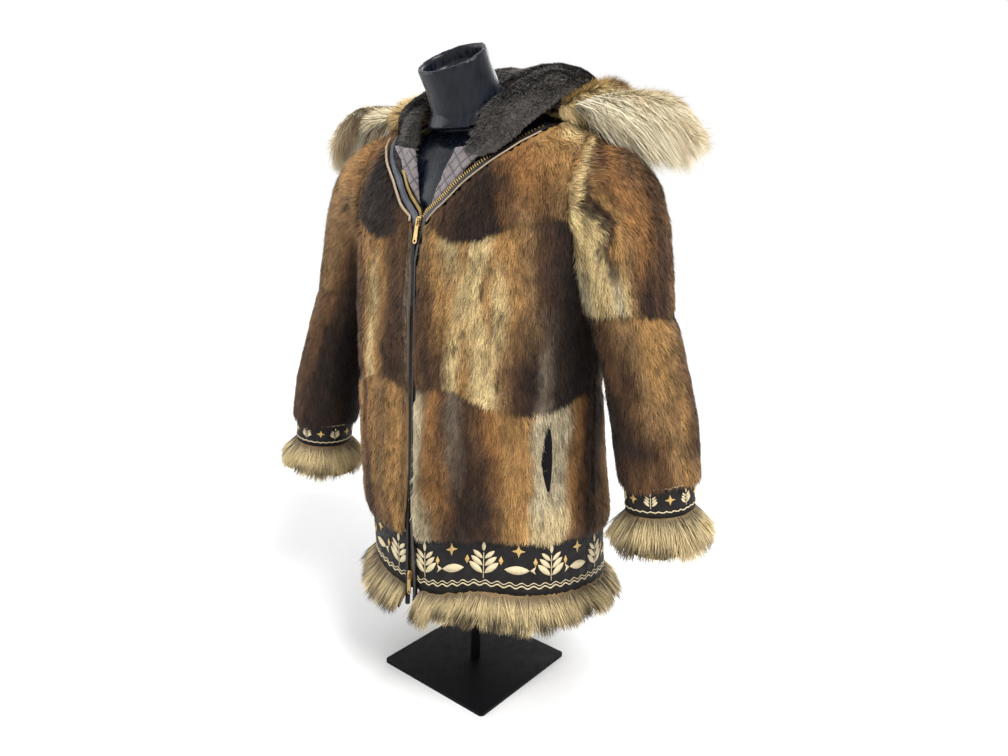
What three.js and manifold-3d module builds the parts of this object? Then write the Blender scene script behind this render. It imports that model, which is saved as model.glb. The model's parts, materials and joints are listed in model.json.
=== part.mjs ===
// A hooded fur coat, worn open at the neck by a limbless torso form on a pole and a square plate.
// Millimetres, +Z up, the coat faces -Y and its wearer's left is +X.
// The origin is the centre of the plate's underside.
import * as THREE from 'three';
import { mergeVertices } from 'three/addons/utils/BufferGeometryUtils.js';
import { ParametricGeometry } from 'three/addons/geometries/ParametricGeometry.js';
import Module from 'manifold-3d';

const wasm = await Module();
wasm.setup();

// ---------------------------------------------------------------- sizes
const GAP = 0.3; // between pieces that touch
const PELT = 11; // hide and the pile that stands on it
const LEATHER = 3; // band of leather with its backing
const BODY_SIDES = 40; // points round the body
const SLEEVE_SIDES = 18; // points round a sleeve

const PLATE_SIDE = 254;
const PLATE_HEIGHT = 6;
const PLATE_CORNER = 8;
const POLE_RADIUS = 9.5;
const POLE_SIDES = 20;
const FORM_SIDES = 30;
const NECK_SIDES = 22;
const FORM_BOTTOM = 420;
const SOCKET_DEPTH = 40;
const SOCKET_PLAY = 0.3;

const HEM_EDGE = 325; // lower edge of the pelts, before its scallops
const HEM_SCALLOP = 9;
const BAND_BOTTOM = 233;
const BAND_TOP = 345; // tucked up behind the pelts
const SIDE_SEAM = 14; // plane y of the side and shoulder seams
const NECK_CUT = 0; // plane y where the neck opening ends at the shoulders
const CLEAR = 400; // reaches past any piece sideways
const CEILING = 1300; // and upwards
const NECK_MOUTH = 1120; // to here the inside of a layer carries on past the body's section
const HEM_TRIM_SIDES = 60;
const CUFF_TRIM_SIDES = 24;

// Depths below the tips of the pile of what is layered at the front edges.
const WELT_LAYER = [5.5, 11.5];
const BAND_LAYER = [11.8, 11.8 + LEATHER];
const CHAIN_LAYER = [11.8, 14.8];
const TAPE_LAYER = [15.1, 16.3];
const EDGE_LAYER = [-GAP, 16.6]; // all of it, with a gap round

// Seams between the three courses of pelts: mean height, scallop and where round the body it turns.
const MID_SEAM = { z: 590, wave: 14, turn: 22, half: 38 };
const YOKE_SEAM = { z: 858, wave: -20, turn: 30, half: 38 };
const SEAM_REACH = 16; // above and below a seam, the wave has its full height
const HEM_REACH = 25; // and above the hem's scallops
const FLAT_ABOVE = 945;
// The pelts side by side: where the first seam lies, how close they follow, and how far each swells.
const PELT_WAVE = { turn: 13, rate: 5, swell: 1.5 };

// Rows of numbers as rows with named columns.
function table(columns, rows) {
  return rows.map(row => Object.fromEntries(columns.map((name, i) => [name, row[i]])));
}

// Section of the body at the tips of the pile.
const BODY = table(['z', 'shift', 'half', 'front', 'back', 'power'], [
  [130, 19, 238, -190, 218, 2.3],
  [235, 17, 236, -184, 212, 2.3],
  [325, 11, 237, -186, 208, 2.3],
  [400, 4, 239, -186, 200, 2.35],
  [450, 0, 240, -184, 190, 2.35],
  [520, 0, 238, -181, 172, 2.4],
  [600, 0, 236, -178, 158, 2.4],
  [700, 0, 236, -180, 148, 2.4],
  [800, 0, 240, -174, 146, 2.4],
  [860, 0, 243, -163, 148, 2.4],
  [900, 0, 244, -154, 150, 2.4],
  [940, 0, 243, -139, 148, 2.4],
  [970, 0, 239, -122, 141, 2.4],
  [990, 0, 231, -104, 132, 2.35],
  [1010, 0, 212, -84, 121, 2.3],
  [1025, 0, 181, -66, 109, 2.2],
  [1038, 0, 142, -52, 97, 2.1],
  [1046, 0, 108, -46, 88, 2.0],
]);

const BODY_TOP = BODY.at(-1).z;

// Heights of the rings of the pelts' outside, with how far each stands in or out of the plain body.
const PELT_RINGS = table(['z', 'relief'], [
  [325, -4], [333, 1], [355, 3], [450, 0], [574, 1.5], [590, -2.5], [606, 1.5], [720, 0], [842, 1.5],
  [858, -2.5], [874, 1.5], [915, 0], [950, 0], [980, 0], [1004, 0], [1026, 0], [1044, 0],
]);
const PLAIN_RINGS = [120, BAND_BOTTOM, BAND_TOP, 480, 640, 800, 870, 920, 958, 988, 1012, 1030, 1044];

// The hem hangs unevenly: how far it rises at each angle from the front, plus towards +X.
const HEM_RISE = table(['angle', 'rise'], [
  [-180, 0], [-100, 2], [-45, 4], [-12, 0], [0, 0], [8, 8],
  [27, 32], [50, 30], [80, 21], [105, 8], [135, 0], [180, 0],
]);
const HEM_STILL = { from: 360, to: 620 }; // between these heights the rise fades out

// Trim of the hem: how deep its outside lies below the body's section, and its thickness.
const HEM_TRIM = table(['z', 'depth', 'thick'], [
  [231.6, 10, 9],
  [216, 0, 16],
  [184, -12, 6],
]);
const HEM_LOCKS = { around: 15, drop: 8, swell: 2 };

// Left sleeve, down its middle: place, lean of the arm outwards, half width and half depth.
const SLEEVE = table(['at', 'x', 'y', 'z', 'lean', 'width', 'depth'], [
  [0, 140, 8, 905, 72, 100, 80],
  [1, 190, 8, 908, 62, 108, 86],
  [2, 232, 8, 893, 48, 108, 88],
  [3, 264, 8, 860, 32, 94, 86],
  [4, 282, 6, 818, 20, 82, 83],
  [5, 293, 5, 775, 12, 73, 79],
  [6, 303, 4, 730, 11, 67, 76],
  [7, 314, 3, 690, 12, 64, 74],
  [8, 330, 2, 640, 14, 65, 75],
  [9, 345, 0, 580, 12, 67, 76],
  [10, 357, -2, 520, 9, 68, 75],
  [11, 366, -4, 470, 8, 68, 74],
  [12, 371, -5, 438, 8, 66, 72],
  [13, 376, -6, 400, 8, 66, 72],
  [14, 382, -6, 350, 9, 67, 73],
  [15, 388, -6, 300, 9, 68, 74],
]);
const SLEEVE_START = 60; // length of one place before the first row
const SLEEVE_FALL = { from: 900, to: 430 }; // between these heights it comes to hang its own way
// How each sleeve hangs: out and back at the shoulder, further back at the wrist, and pushed up.
const SLEEVE_HANG = {
  left: { out: -7, back: 0, swing: 22, rise: 34 },
  right: { out: 12, back: -18, swing: -34, rise: 0 },
};
const SLEEVE_RINGS = table(['at', 'relief'], [
  [0, 0], [1, 0], [1.9, 0], [2.7, 0], [3.6, 0], [4.8, 1], [6.2, 1.5],
  [6.5, -2.5], [6.8, 1.5], [8, 0.5], [9.8, 1], [11.8, 1], [12.05, -3],
]);
const SLEEVE_INSIDE = [-1, 0, 1, 1.9, 2.7, 3.6, 5, 7, 9.5, 11.75, 13];
const SHOULDER_CREASE = { depth: 5, angle: 235, spread: 16, at: 3.2, reach: 1.3 };
const ELBOW_CREASE = { depth: 2, turn: 0.4, at: 8.4, reach: 0.5 };
const CUFF_SCALLOP = 5;
const CUFF_BAND = { from: 11.75, to: 13.05, depth: 11.6 };
const CUFF_TRIM = table(['at', 'depth', 'thick'], [
  [13.06, 10, 9],
  [13.4, 0, 15],
  [14.2, -11, 6],
]);
const CUFF_LOCKS = { around: 6, drop: 7, swell: 2 };
const LOCK_WANDER = 1.7; // makes the locks wider and narrower by turns

// Left front edge. x and z: inner side of the teeth. turn: degrees that the outward direction
// points below +X. chain, welt, pelt: how far outwards the teeth end, the welt begins and the pelt begins.
const FRONT_EDGE = table(['x', 'z', 'turn', 'chain', 'welt', 'pelt'], [
  [0.3, 100, 0, 3.6, 5.9, 12.6],
  [0.3, 262, 0, 3.6, 5.9, 12.6],
  [0.3, 372, 0, 3.4, 1.4, 7.0],
  [0.3, 420, 0, 3.3, 0.3, 3.9],
  [0.3, 800, 0, 3.3, 0.3, 3.9],
  [0.3, 832, 0, 3.3, 2.6, 7.6],
  [0.3, 850, 4, 3.4, 5.6, 12.2],
  [0.4, 866, 12, 3.6, 7.0, 15.2],
  [6, 880, 42, 4.0, 9.5, 17.0],
  [34, 903, 49, 4.0, 9.5, 17.0],
  [64, 936, 47, 4.0, 9.5, 17.0],
  [123, 986, 43, 4.0, 9.5, 17.0],
  [158, 1020, 45, 4.0, 9.0, 16.0],
]);
const WELT_END = 194; // the welts hang on below the band
const CHAIN_END = 240;

// Sheared lining of the turned-back hood, from the middle of the back round to the neck opening:
// outer edge, crest, inner side at the neck, and underside.
const PILE_REACH = { left: 15, right: 2 }; // how much further in it comes on each side
const PILE = table(['at', 'ex', 'ey', 'ez', 'cx', 'cy', 'cz', 'nx', 'ny', 'nz', 'bx', 'by', 'bz'], [
  [0, 0, 200, 1078, 0, 118, 1126, 0, 50, 1070, 0, 120, 1056],
  [1, 92, 180, 1080, 58, 108, 1124, 32, 42, 1068, 62, 110, 1056],
  [2, 146, 124, 1084, 98, 78, 1118, 56, 18, 1062, 104, 78, 1056],
  [3, 170, 54, 1078, 122, 36, 1100, 72, -26, 1056, 122, 20, 1050],
  [4, 176, -8, 1054, 132, -24, 1072, 74, -66, 1044, 120, -32, 1042],
  [5, 160, -46, 1030, 118, -58, 1044, 64, -90, 1020, 110, -64, 1014],
  [6, 132, -80, 1000, 98, -90, 1010, 53, -108, 990, 90, -96, 984],
  [7, 100, -112, 966, 76, -120, 974, 43, -120, 957, 70, -122, 950],
]);

const PILE_STEPS = 11; // rings on each side
const PILE_LUMPS = { height: 2.5, along: 1.9, around: 0.9 };

// Quilted lining below it: outer side behind the zip and inner side on the chest.
const QUILT = table(['at', 'ex', 'ey', 'ez', 'nx', 'ny', 'nz'], [
  [0, 94, -112, 957, 42, -122, 950],
  [1, 66, -130, 925, 30, -130, 922],
  [2, 38, -140, 898, 22, -136, 898],
  [3, 14, -145, 874, 14, -141, 872],
]);
const QUILT_THICK = 4;
const QUILT_REACH = { left: 9, right: 0 };
const QUILT_PUFF = 1.2;
const QUILT_STEPS = { along: 9, across: 5 };

// Fur outside of the hood, lying on the shoulders and hanging behind: inner side under the lining,
// top of the roll, outer side, lowest point and the side that faces the body.
const HOOD = table(['at', 'ix', 'iy', 'iz', 'tx', 'ty', 'tz', 'ox', 'oy', 'oz', 'hx', 'hy', 'hz'], [
  [0, 0, 170, 1050, 0, 236, 1082, 0, 262, 1030, 0, 214, 905],
  [1, 88, 156, 1050, 104, 214, 1084, 118, 238, 1036, 98, 196, 930],
  [2, 142, 112, 1052, 172, 150, 1088, 196, 166, 1048, 168, 138, 985],
  [3, 166, 50, 1050, 206, 62, 1086, 232, 66, 1050, 200, 56, 1020],
  [4, 172, -6, 1040, 202, -4, 1068, 224, -6, 1040, 198, -6, 1018],
  [5, 168, -36, 1028, 184, -36, 1044, 200, -36, 1026, 184, -36, 1012],
]);

const HOOD_STEPS = 10;
const SECTION_POINTS = 12; // round the hood and its lining

// Long-haired ruff from the roll outwards: root, how its hair lies over the shoulder, and tips.
const RUFF = table(['at', 'rx', 'ry', 'rz', 'mx', 'my', 'mz', 'tx', 'ty', 'tz', 'thick'], [
  [0, 0, 262, 1052, 0, 316, 1034, 0, 346, 962, 20],
  [1, 118, 240, 1056, 148, 288, 1042, 168, 318, 972, 21],
  [2, 198, 168, 1064, 254, 206, 1052, 290, 232, 984, 22],
  [3, 234, 66, 1062, 308, 88, 1050, 356, 100, 962, 22],
  [4, 226, -4, 1050, 298, 26, 1038, 356, 50, 936, 20],
  [5, 206, -34, 1036, 266, -16, 1020, 316, 18, 962, 12],
]);
// On the right the hair lies further out and forward.
const RUFF_HANG = { left: { out: 1, back: 0 }, right: { out: 1.15, back: -44 } };
const RUFF_LOCKS = { count: 9, drop: 12, swell: 2.5 };
const RUFF_STEPS = { along: 13, out: 5 };

// Torso form, flat below, with a neck that leans forward and is cut across its lean.
const FORM = table(['z', 'half', 'front', 'back', 'power'], [
  [420, 150, -104, 118, 2.2],
  [490, 165, -117, 124, 2.2],
  [660, 140, -112, 102, 2.1],
  [760, 156, -124, 110, 2.2],
  [840, 178, -136, 118, 2.3],
  [900, 196, -133, 125, 2.3],
  [960, 212, -106, 124, 2.3],
  [990, 212, -86, 118, 2.3],
  [1008, 176, -80, 106, 2.2],
  [1034, 88, -92, 46, 2],
]);
const NECK = {
  foot: [0, -30, 1016],
  base: [0, -44, 1048],
  middle: [0, -64, 1082],
  top: [0, -85, 1116],
  lean: 31,
  footRadius: 78,
  radius: 59,
  wall: 6,
  recess: 26,
};

// Zip slider and its pull tab, in a frame whose y runs into the cloth.
const SLIDER = { top: 5.6, bottom: 4.4, height: 20, depth: 6.7, bridge: 3, arch: 5, reach: 4.4, wire: 1.3 };
const PULL = { width: 9, neck: 7.4, length: 37, thick: 1.4, slot: 4.2, slotDrop: 7.5, bar: 1.5, hole: 2.3 };
const SLIDER_DEPTH = 4.6; // its face below the tips of the pile
const TOP_SLIDER = 862; // heights of the pull tabs' hinges
const BOTTOM_SLIDER = 254;

// Pocket slit: a lens on each front.
const POCKET = { angle: 66, facing: 62, z: 486, height: 117, width: 15, lean: 3, layer: [6.5, 10.6] };
const LENS_DEPTH = 120;

// ---------------------------------------------------------------- helpers
const radians = THREE.MathUtils.degToRad;
const vector = (x, y, z) => new THREE.Vector3(x, y, z);

// Smooth columns of a table at any place between its rows.
function follow(rows, key) {
  const names = Object.keys(rows[0]);
  const places = rows.map(row => row[key]);
  const values = rows.flatMap(row => names.map(name => row[name]));
  const curve = new THREE.CubicInterpolant(places, values, names.length);
  return at => {
    const found = curve.evaluate(at);
    return Object.fromEntries(names.map((name, i) => [name, found[i]]));
  };
}

// A geometry as a closed solid with its faces pointing out.
function toSolid(geometry) {
  const bare = new THREE.BufferGeometry();
  bare.setAttribute('position', geometry.getAttribute('position'));
  bare.setIndex(geometry.getIndex());
  const merged = mergeVertices(bare, 1e-3);
  const spots = merged.getAttribute('position');
  const corners = merged.getIndex().array;
  const faces = [];
  let volume = 0;
  for (let i = 0; i < corners.length; i += 3) {
    const [a, b, c] = [corners[i], corners[i + 1], corners[i + 2]];
    if (a === b || b === c || c === a) continue;
    faces.push(a, b, c);
    const [p, q, r] = [a, b, c].map(k => vector().fromBufferAttribute(spots, k));
    volume += p.dot(q.cross(r));
  }
  if (volume < 0) faces.reverse();
  const vertProperties = new Float32Array(spots.array);
  const triVerts = new Uint32Array(faces);
  return new wasm.Manifold(new wasm.Mesh({ numProp: 3, vertProperties, triVerts }));
}

const middleOf = ring => ring.reduce((sum, p) => sum.add(p), vector()).divideScalar(ring.length);

// A solid through rings of points, closed at both ends.
function loft(rings) {
  const middles = [rings[0], rings.at(-1)].map(middleOf);
  const rows = rings.length + 1;
  const spot = (u, v, target) => {
    const row = Math.round(v * rows);
    const ring = rings[row - 1];
    if (row === 0) target.copy(middles[0]);
    else if (row === rows) target.copy(middles[1]);
    else target.copy(ring[Math.round(u * ring.length) % ring.length]);
  };
  return toSolid(new ParametricGeometry(spot, rings[0].length, rows));
}

// The largest body of a cut, so that no crumb stays beside it.
function main(solid) {
  const bodies = solid.decompose();
  return bodies.reduce((best, body) => (body.volume() > best.volume() ? body : best));
}

function toGeometry(solid) {
  const mesh = solid.getMesh();
  const geometry = new THREE.BufferGeometry();
  geometry.setAttribute('position', new THREE.BufferAttribute(mesh.vertProperties.slice(), mesh.numProp));
  geometry.setIndex(new THREE.BufferAttribute(mesh.triVerts.slice(), 1));
  return geometry;
}

function block(low, high) {
  const size = high.map((value, i) => value - low[i]);
  const centre = high.map((value, i) => (value + low[i]) / 2);
  return toSolid(new THREE.BoxGeometry(...size).translate(...centre));
}

const signedPower = (value, power) => Math.sign(value) * Math.abs(value) ** power;

// A point of a rounded section; angle 0 is the front (-Y), growing towards +X.
function sectionPoint(row, angle, z) {
  const middle = (row.front + row.back) / 2;
  const reach = (row.back - row.front) / 2;
  const x = (row.shift ?? 0) + row.half * signedPower(Math.sin(angle), 2 / row.power);
  const y = middle - reach * signedPower(Math.cos(angle), 2 / row.power);
  return vector(x, y, z);
}

// A prism of an outline in the XZ plane, along Y.
function frontPrism(outline, from, to) {
  const shape = new THREE.Shape(outline.map(([x, z]) => new THREE.Vector2(x, z)));
  const prism = new THREE.ExtrudeGeometry(shape, { depth: to - from, bevelEnabled: false });
  return toSolid(prism.rotateX(Math.PI / 2).translate(0, to, 0));
}

// ---------------------------------------------------------------- body of the coat
const bodyRow = follow(BODY, 'z');
const hemRise = follow(HEM_RISE, 'angle');

function bodyPoint(angle, z) {
  const fade = 1 - THREE.MathUtils.smoothstep(z, HEM_STILL.from, HEM_STILL.to);
  const turned = THREE.MathUtils.radToDeg(angle);
  const rise = fade * hemRise(THREE.MathUtils.euclideanModulo(turned + 180, 360) - 180).rise;
  return sectionPoint(bodyRow(z), angle, z + rise);
}

function bodySkin(angle, z, depth) {
  const turn = 0.02;
  const rise = 4;
  const around = bodyPoint(angle + turn, z).sub(bodyPoint(angle - turn, z));
  const up = bodyPoint(angle, Math.min(z + rise, BODY_TOP)).sub(bodyPoint(angle, z - rise));
  return bodyPoint(angle, z).addScaledVector(around.cross(up).normalize(), -depth);
}

const angles = sides => Array.from({ length: sides }, (_, i) => (2 * Math.PI * i) / sides);
const fromFront = angle => THREE.MathUtils.radToDeg(Math.min(angle, 2 * Math.PI - angle));

// 0 at the seam between two pelts of a course and 1 in the middle of one.
function peltShare(angle) {
  return Math.abs(Math.sin(radians(PELT_WAVE.rate * (fromFront(angle) - PELT_WAVE.turn))));
}

// Scallops of the seams between courses, and of the pelts' lower edge.
function seamScallop(seam, angle) {
  return seam.wave * Math.cos((Math.PI * (fromFront(angle) - seam.turn)) / seam.half);
}
const hemScallop = angle => HEM_SCALLOP * (0.5 - peltShare(angle));

function courseWave(angle, z) {
  const { lerp, clamp } = THREE.MathUtils;
  const part = (low, high) => clamp((z - low) / (high - low), 0, 1);
  const hem = hemScallop(angle);
  const mid = seamScallop(MID_SEAM, angle);
  const yoke = seamScallop(YOKE_SEAM, angle);
  const lower = lerp(hem, mid, part(HEM_EDGE + HEM_REACH, MID_SEAM.z - SEAM_REACH));
  const upper = lerp(mid, yoke, part(MID_SEAM.z + SEAM_REACH, YOKE_SEAM.z - SEAM_REACH));
  const wave = z < MID_SEAM.z ? lower : upper;
  return wave * (1 - part(YOKE_SEAM.z + SEAM_REACH, FLAT_ABOVE));
}

function peltRings(grow = 0) {
  return PELT_RINGS.map(row => angles(BODY_SIDES).map(angle => {
    const swell = PELT_WAVE.swell * peltShare(angle);
    return bodySkin(angle, row.z + courseWave(angle, row.z), -row.relief - swell - grow);
  }));
}

function plainRings(depth, levels = PLAIN_RINGS) {
  return levels.map(z => angles(BODY_SIDES).map(angle => bodySkin(angle, z, depth)));
}

// Inside of a layer: open at the neck, so it carries on straight up.
function hollow(depth) {
  const rings = plainRings(depth);
  const mouth = rings.at(-1).map(p => p.clone().setZ(NECK_MOUTH));
  return loft([...rings, mouth]);
}

const bodyLayer = ([near, far]) => loft(plainRings(near)).subtract(hollow(far));

// ---------------------------------------------------------------- front edges
const edgePoint = (row, out) => {
  const turn = radians(row.turn);
  return [row.x + out * Math.cos(turn), row.z - out * Math.sin(turn)];
};
const mirrored = (outline, side) => outline.map(([x, z]) => [side * x, z]);

// A strip along the front edge between two distances, each a function of the row.
function edgeStrip(side, near, far, bottom, top = CLEAR * 3) {
  const up = FRONT_EDGE.map(row => edgePoint(row, near(row)));
  const down = FRONT_EDGE.map(row => edgePoint(row, far(row))).reverse();
  const strip = frontPrism(mirrored([...up, ...down], side), -CLEAR, NECK_CUT);
  return strip.intersect(block([-CLEAR, -CLEAR, bottom], [CLEAR, CLEAR, top]));
}

// All that lies inside a distance from the front edges, open at the top.
function edgeOpening(out) {
  const right = FRONT_EDGE.map(row => edgePoint(row, out(row)));
  const [x, z] = right.at(-1);
  const flare = 14;
  right.push([x + flare, z + flare], [x + flare, CEILING]);
  const left = mirrored(right, -1).reverse();
  return frontPrism([...right, ...left], -CLEAR, NECK_CUT);
}

// ---------------------------------------------------------------- sleeves
const sleeveRow = follow(SLEEVE, 'at');

function sleevePoint(side, at, angle, depth, drop = 0) {
  const row = sleeveRow(Math.max(at, 0));
  const lean = radians(row.lean);
  const across = Math.cos(angle) * (row.width - depth);
  const hang = side > 0 ? SLEEVE_HANG.left : SLEEVE_HANG.right;
  const down = THREE.MathUtils.smoothstep(-row.z, -SLEEVE_FALL.from, -SLEEVE_FALL.to);
  const past = Math.min(at, 0) * SLEEVE_START + drop;
  const x = row.x + hang.out + across * Math.cos(lean) + past * Math.sin(lean);
  const y = row.y + hang.back + hang.swing * down + Math.sin(angle) * (row.depth - depth);
  const z = row.z + hang.rise * down + across * Math.sin(lean) - past * Math.cos(lean);
  return vector(side * x, y, z);
}

// Creases where the sleeve bends into the body, in front and at the elbow.
function sleeveCrease(at, angle) {
  const near = (value, middle, reach) => Math.exp(-(((value - middle) / reach) ** 2));
  const front = near(THREE.MathUtils.radToDeg(angle), SHOULDER_CREASE.angle, SHOULDER_CREASE.spread);
  const shoulder = near(at, SHOULDER_CREASE.at, SHOULDER_CREASE.reach);
  const inside = Math.max(0, -Math.sin(angle - ELBOW_CREASE.turn));
  const elbow = near(at, ELBOW_CREASE.at, ELBOW_CREASE.reach) * inside;
  return SHOULDER_CREASE.depth * front * shoulder + ELBOW_CREASE.depth * elbow;
}

function sleeveOutside(side, grow = 0) {
  return SLEEVE_RINGS.map((row, i) => angles(SLEEVE_SIDES).map(angle => {
    const last = i >= SLEEVE_RINGS.length - 2;
    const drop = last ? CUFF_SCALLOP * Math.sin(3 * angle + 0.5) : 0;
    return sleevePoint(side, row.at, angle, sleeveCrease(row.at, angle) - row.relief - grow, drop);
  }));
}

function sleeveTube(side, depth, places) {
  return loft(places.map(at => angles(SLEEVE_SIDES).map(angle => sleevePoint(side, at, angle, depth))));
}

// A fur trim: locks wave its tips and swell its outside.
function trimRings(rows, locks, count, point) {
  const last = rows.length - 1;
  const lock = (angle, i) => (i / last) * Math.cos(locks.around * angle + LOCK_WANDER * Math.sin(3 * angle));
  const outside = rows.map((row, i) => angles(count).map(angle => {
    return point(row, angle, row.depth - locks.swell * lock(angle, i), locks.drop * lock(angle, i));
  }));
  const inside = rows.map((row, i) => angles(count).map(angle => {
    return point(row, angle, row.depth + row.thick, locks.drop * lock(angle, i));
  }));
  return { outside, inside };
}

// The wall between two nested sets of rings, its inside pushed past both ends.
function wall({ outside, inside }) {
  const past = 6;
  const push = (ring, next) => ring.map((p, i) => {
    const way = p.clone().sub(next[i]).normalize();
    return p.clone().addScaledVector(way, past);
  });
  const core = [push(inside[0], inside[1]), ...inside.slice(1, -1), push(inside.at(-1), inside.at(-2))];
  return loft(outside).subtract(loft(core));
}

// ---------------------------------------------------------------- hood
const corner = (row, name, side) => vector(side * row[name + 'x'], row[name + 'y'], row[name + 'z']);

// A closed section through a few corners, rounded.
function roundSection(corners) {
  const curve = new THREE.CatmullRomCurve3(corners, true, 'centripetal');
  return curve.getPoints(SECTION_POINTS).slice(0, SECTION_POINTS);
}

// Pushes each ring out from its own middle.
function grown(rings, by) {
  return rings.map(ring => {
    const middle = middleOf(ring);
    return ring.map(p => p.clone().addScaledVector(p.clone().sub(middle).normalize(), by));
  });
}

// Stations of a table from its last row on one side, over the back, to its last row on the other.
function bothSides(rows, steps) {
  const last = rows.at(-1).at;
  return Array.from({ length: steps * 2 + 1 }, (_, i) => (last * (i - steps)) / steps);
}

function pileRings() {
  const row = follow(PILE, 'at');
  return bothSides(PILE, PILE_STEPS).map((at, k) => {
    const here = row(Math.abs(at));
    const side = at < 0 ? -1 : 1;
    const [outer, crest, inner, under] = ['e', 'c', 'n', 'b'].map(name => corner(here, name, side));
    inner.x -= side * PILE_REACH[side > 0 ? 'left' : 'right'] * Math.min(1, Math.abs(at) / 2);
    const height = PILE_LUMPS.height * Math.max(0, 1 - Math.abs(at) / 5);
    const lump = i => height * Math.sin(PILE_LUMPS.along * k + PILE_LUMPS.around * i);
    return roundSection([outer, crest, inner, under]).map((p, i) => p.clone().setZ(p.z + lump(i)));
  });
}

function hoodRings() {
  const row = follow(HOOD, 'at');
  return bothSides(HOOD, HOOD_STEPS).map(at => {
    const here = row(Math.abs(at));
    return roundSection(['i', 't', 'o', 'h'].map(name => corner(here, name, at < 0 ? -1 : 1)));
  });
}

function ruffRings(side) {
  const row = follow(RUFF, 'at');
  const hang = RUFF_HANG[side > 0 ? 'left' : 'right'];
  const steps = RUFF_STEPS.along;
  return Array.from({ length: steps + 1 }, (_, k) => {
    const at = (RUFF.at(-1).at * k) / steps;
    const here = row(at);
    const lock = Math.cos((RUFF_LOCKS.count * Math.PI * 2 * k) / steps);
    const share = Math.min(1, at / 3);
    const shift = p => p.set(p.x * THREE.MathUtils.lerp(1, hang.out, share), p.y + hang.back * share, p.z);
    const parting = side * (GAP / 2) * (k === 0 ? 1 : 0);
    const tip = shift(corner(here, 't', side));
    tip.z -= RUFF_LOCKS.drop * lock;
    const middle = shift(corner(here, 'm', side));
    middle.z += RUFF_LOCKS.swell * lock;
    const root = corner(here, 'r', side);
    const under = vector(0, 0, -here.thick);
    const handle = middle.clone().multiplyScalar(2).sub(root.clone().add(tip).multiplyScalar(0.5));
    const top = new THREE.QuadraticBezierCurve3(root, handle, tip).getPoints(RUFF_STEPS.out);
    const thickness = i => (i === 0 ? 0.7 : 1 - 0.16 * i);
    const below = top.slice(0, -1).map((p, i) => p.clone().addScaledVector(under, thickness(i)));
    return [...top, ...below.reverse()].map(p => p.setX(p.x + parting));
  });
}

// ---------------------------------------------------------------- pieces
const materials = {
  pelt: { color: 0x8a5a33, roughness: 0.85 },
  pile: { color: 0x3a332c, roughness: 0.95 },
  ruff: { color: 0xd8cba6, roughness: 0.75 },
  trim: { color: 0xb89b66, roughness: 0.8 },
  quilt: { color: 0x6b5c60, roughness: 0.6 },
  leather: { color: 0x17130f, roughness: 0.45 },
  tape: { color: 0x25262b, roughness: 0.9 },
  brass: { color: 0xb58a3c, roughness: 0.3, metalness: 1 },
  form: { color: 0x0b0c10, roughness: 0.18 },
  stand: { color: 0x111214, roughness: 0.5, metalness: 0.4 },
};

const coat = new THREE.Group();

function addMesh(parent, name, geometry, material) {
  const mesh = new THREE.Mesh(geometry, new THREE.MeshStandardMaterial(materials[material]));
  mesh.name = name;
  parent.add(mesh);
  return mesh;
}

const addSolid = (name, solid, material) => addMesh(coat, name, toGeometry(main(solid)), material);

const sides = [['left', 1], ['right', -1]];
const frontBlock = block([-CLEAR, -CLEAR, 0], [CLEAR, SIDE_SEAM - GAP / 2, CEILING]);
const backBlock = block([-CLEAR, SIDE_SEAM + GAP / 2, 0], [CLEAR, CLEAR, CEILING]);

function sideBlock(side) {
  const low = side > 0 ? 0 : -CLEAR;
  return block([low, -CLEAR, 0], [low + CLEAR, CLEAR, CEILING]);
}

const bodyHull = loft(peltRings(GAP));
const opening = edgeOpening(row => row.pelt);
const edgeKeepOut = bodyLayer(EDGE_LAYER).subtract(edgeOpening(() => -GAP));

// A pocket's lens, standing across the front it is cut in.
function pocketLens(side, grow) {
  const outline = new THREE.Shape();
  const half = POCKET.height / 2 + grow;
  const bulge = POCKET.width + 2 * grow;
  outline.moveTo(0, -half);
  outline.quadraticCurveTo(bulge, 0, 0, half);
  outline.quadraticCurveTo(-bulge, 0, 0, -half);
  const cut = { depth: LENS_DEPTH, bevelEnabled: false, curveSegments: 7 };
  const lens = new THREE.ExtrudeGeometry(outline, cut);
  const centre = bodyPoint(radians(POCKET.angle), POCKET.z);
  lens.translate(0, 0, -LENS_DEPTH / 2).rotateZ(radians(-POCKET.lean * side)).rotateX(Math.PI / 2);
  lens.rotateZ(side * radians(POCKET.facing)).translate(side * centre.x, centre.y, centre.z);
  return toSolid(lens);
}

function addBody() {
  const pelts = loft(peltRings()).subtract(hollow(PELT)).subtract(opening);
  const armholes = sides.map(([, side]) => sleeveTube(side, PELT, SLEEVE_INSIDE));
  const open = armholes.reduce((solid, tube) => solid.subtract(tube), pelts);
  for (const [name, side] of sides) {
    const panel = open.intersect(frontBlock).intersect(sideBlock(side));
    addSolid('front_' + name, panel.subtract(pocketLens(side, GAP)), 'pelt');
    addSolid('pocket_' + name, bodyLayer(POCKET.layer).intersect(pocketLens(side, 0)), 'tape');
  }
  addSolid('back', open.intersect(backBlock), 'pelt');
}

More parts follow.
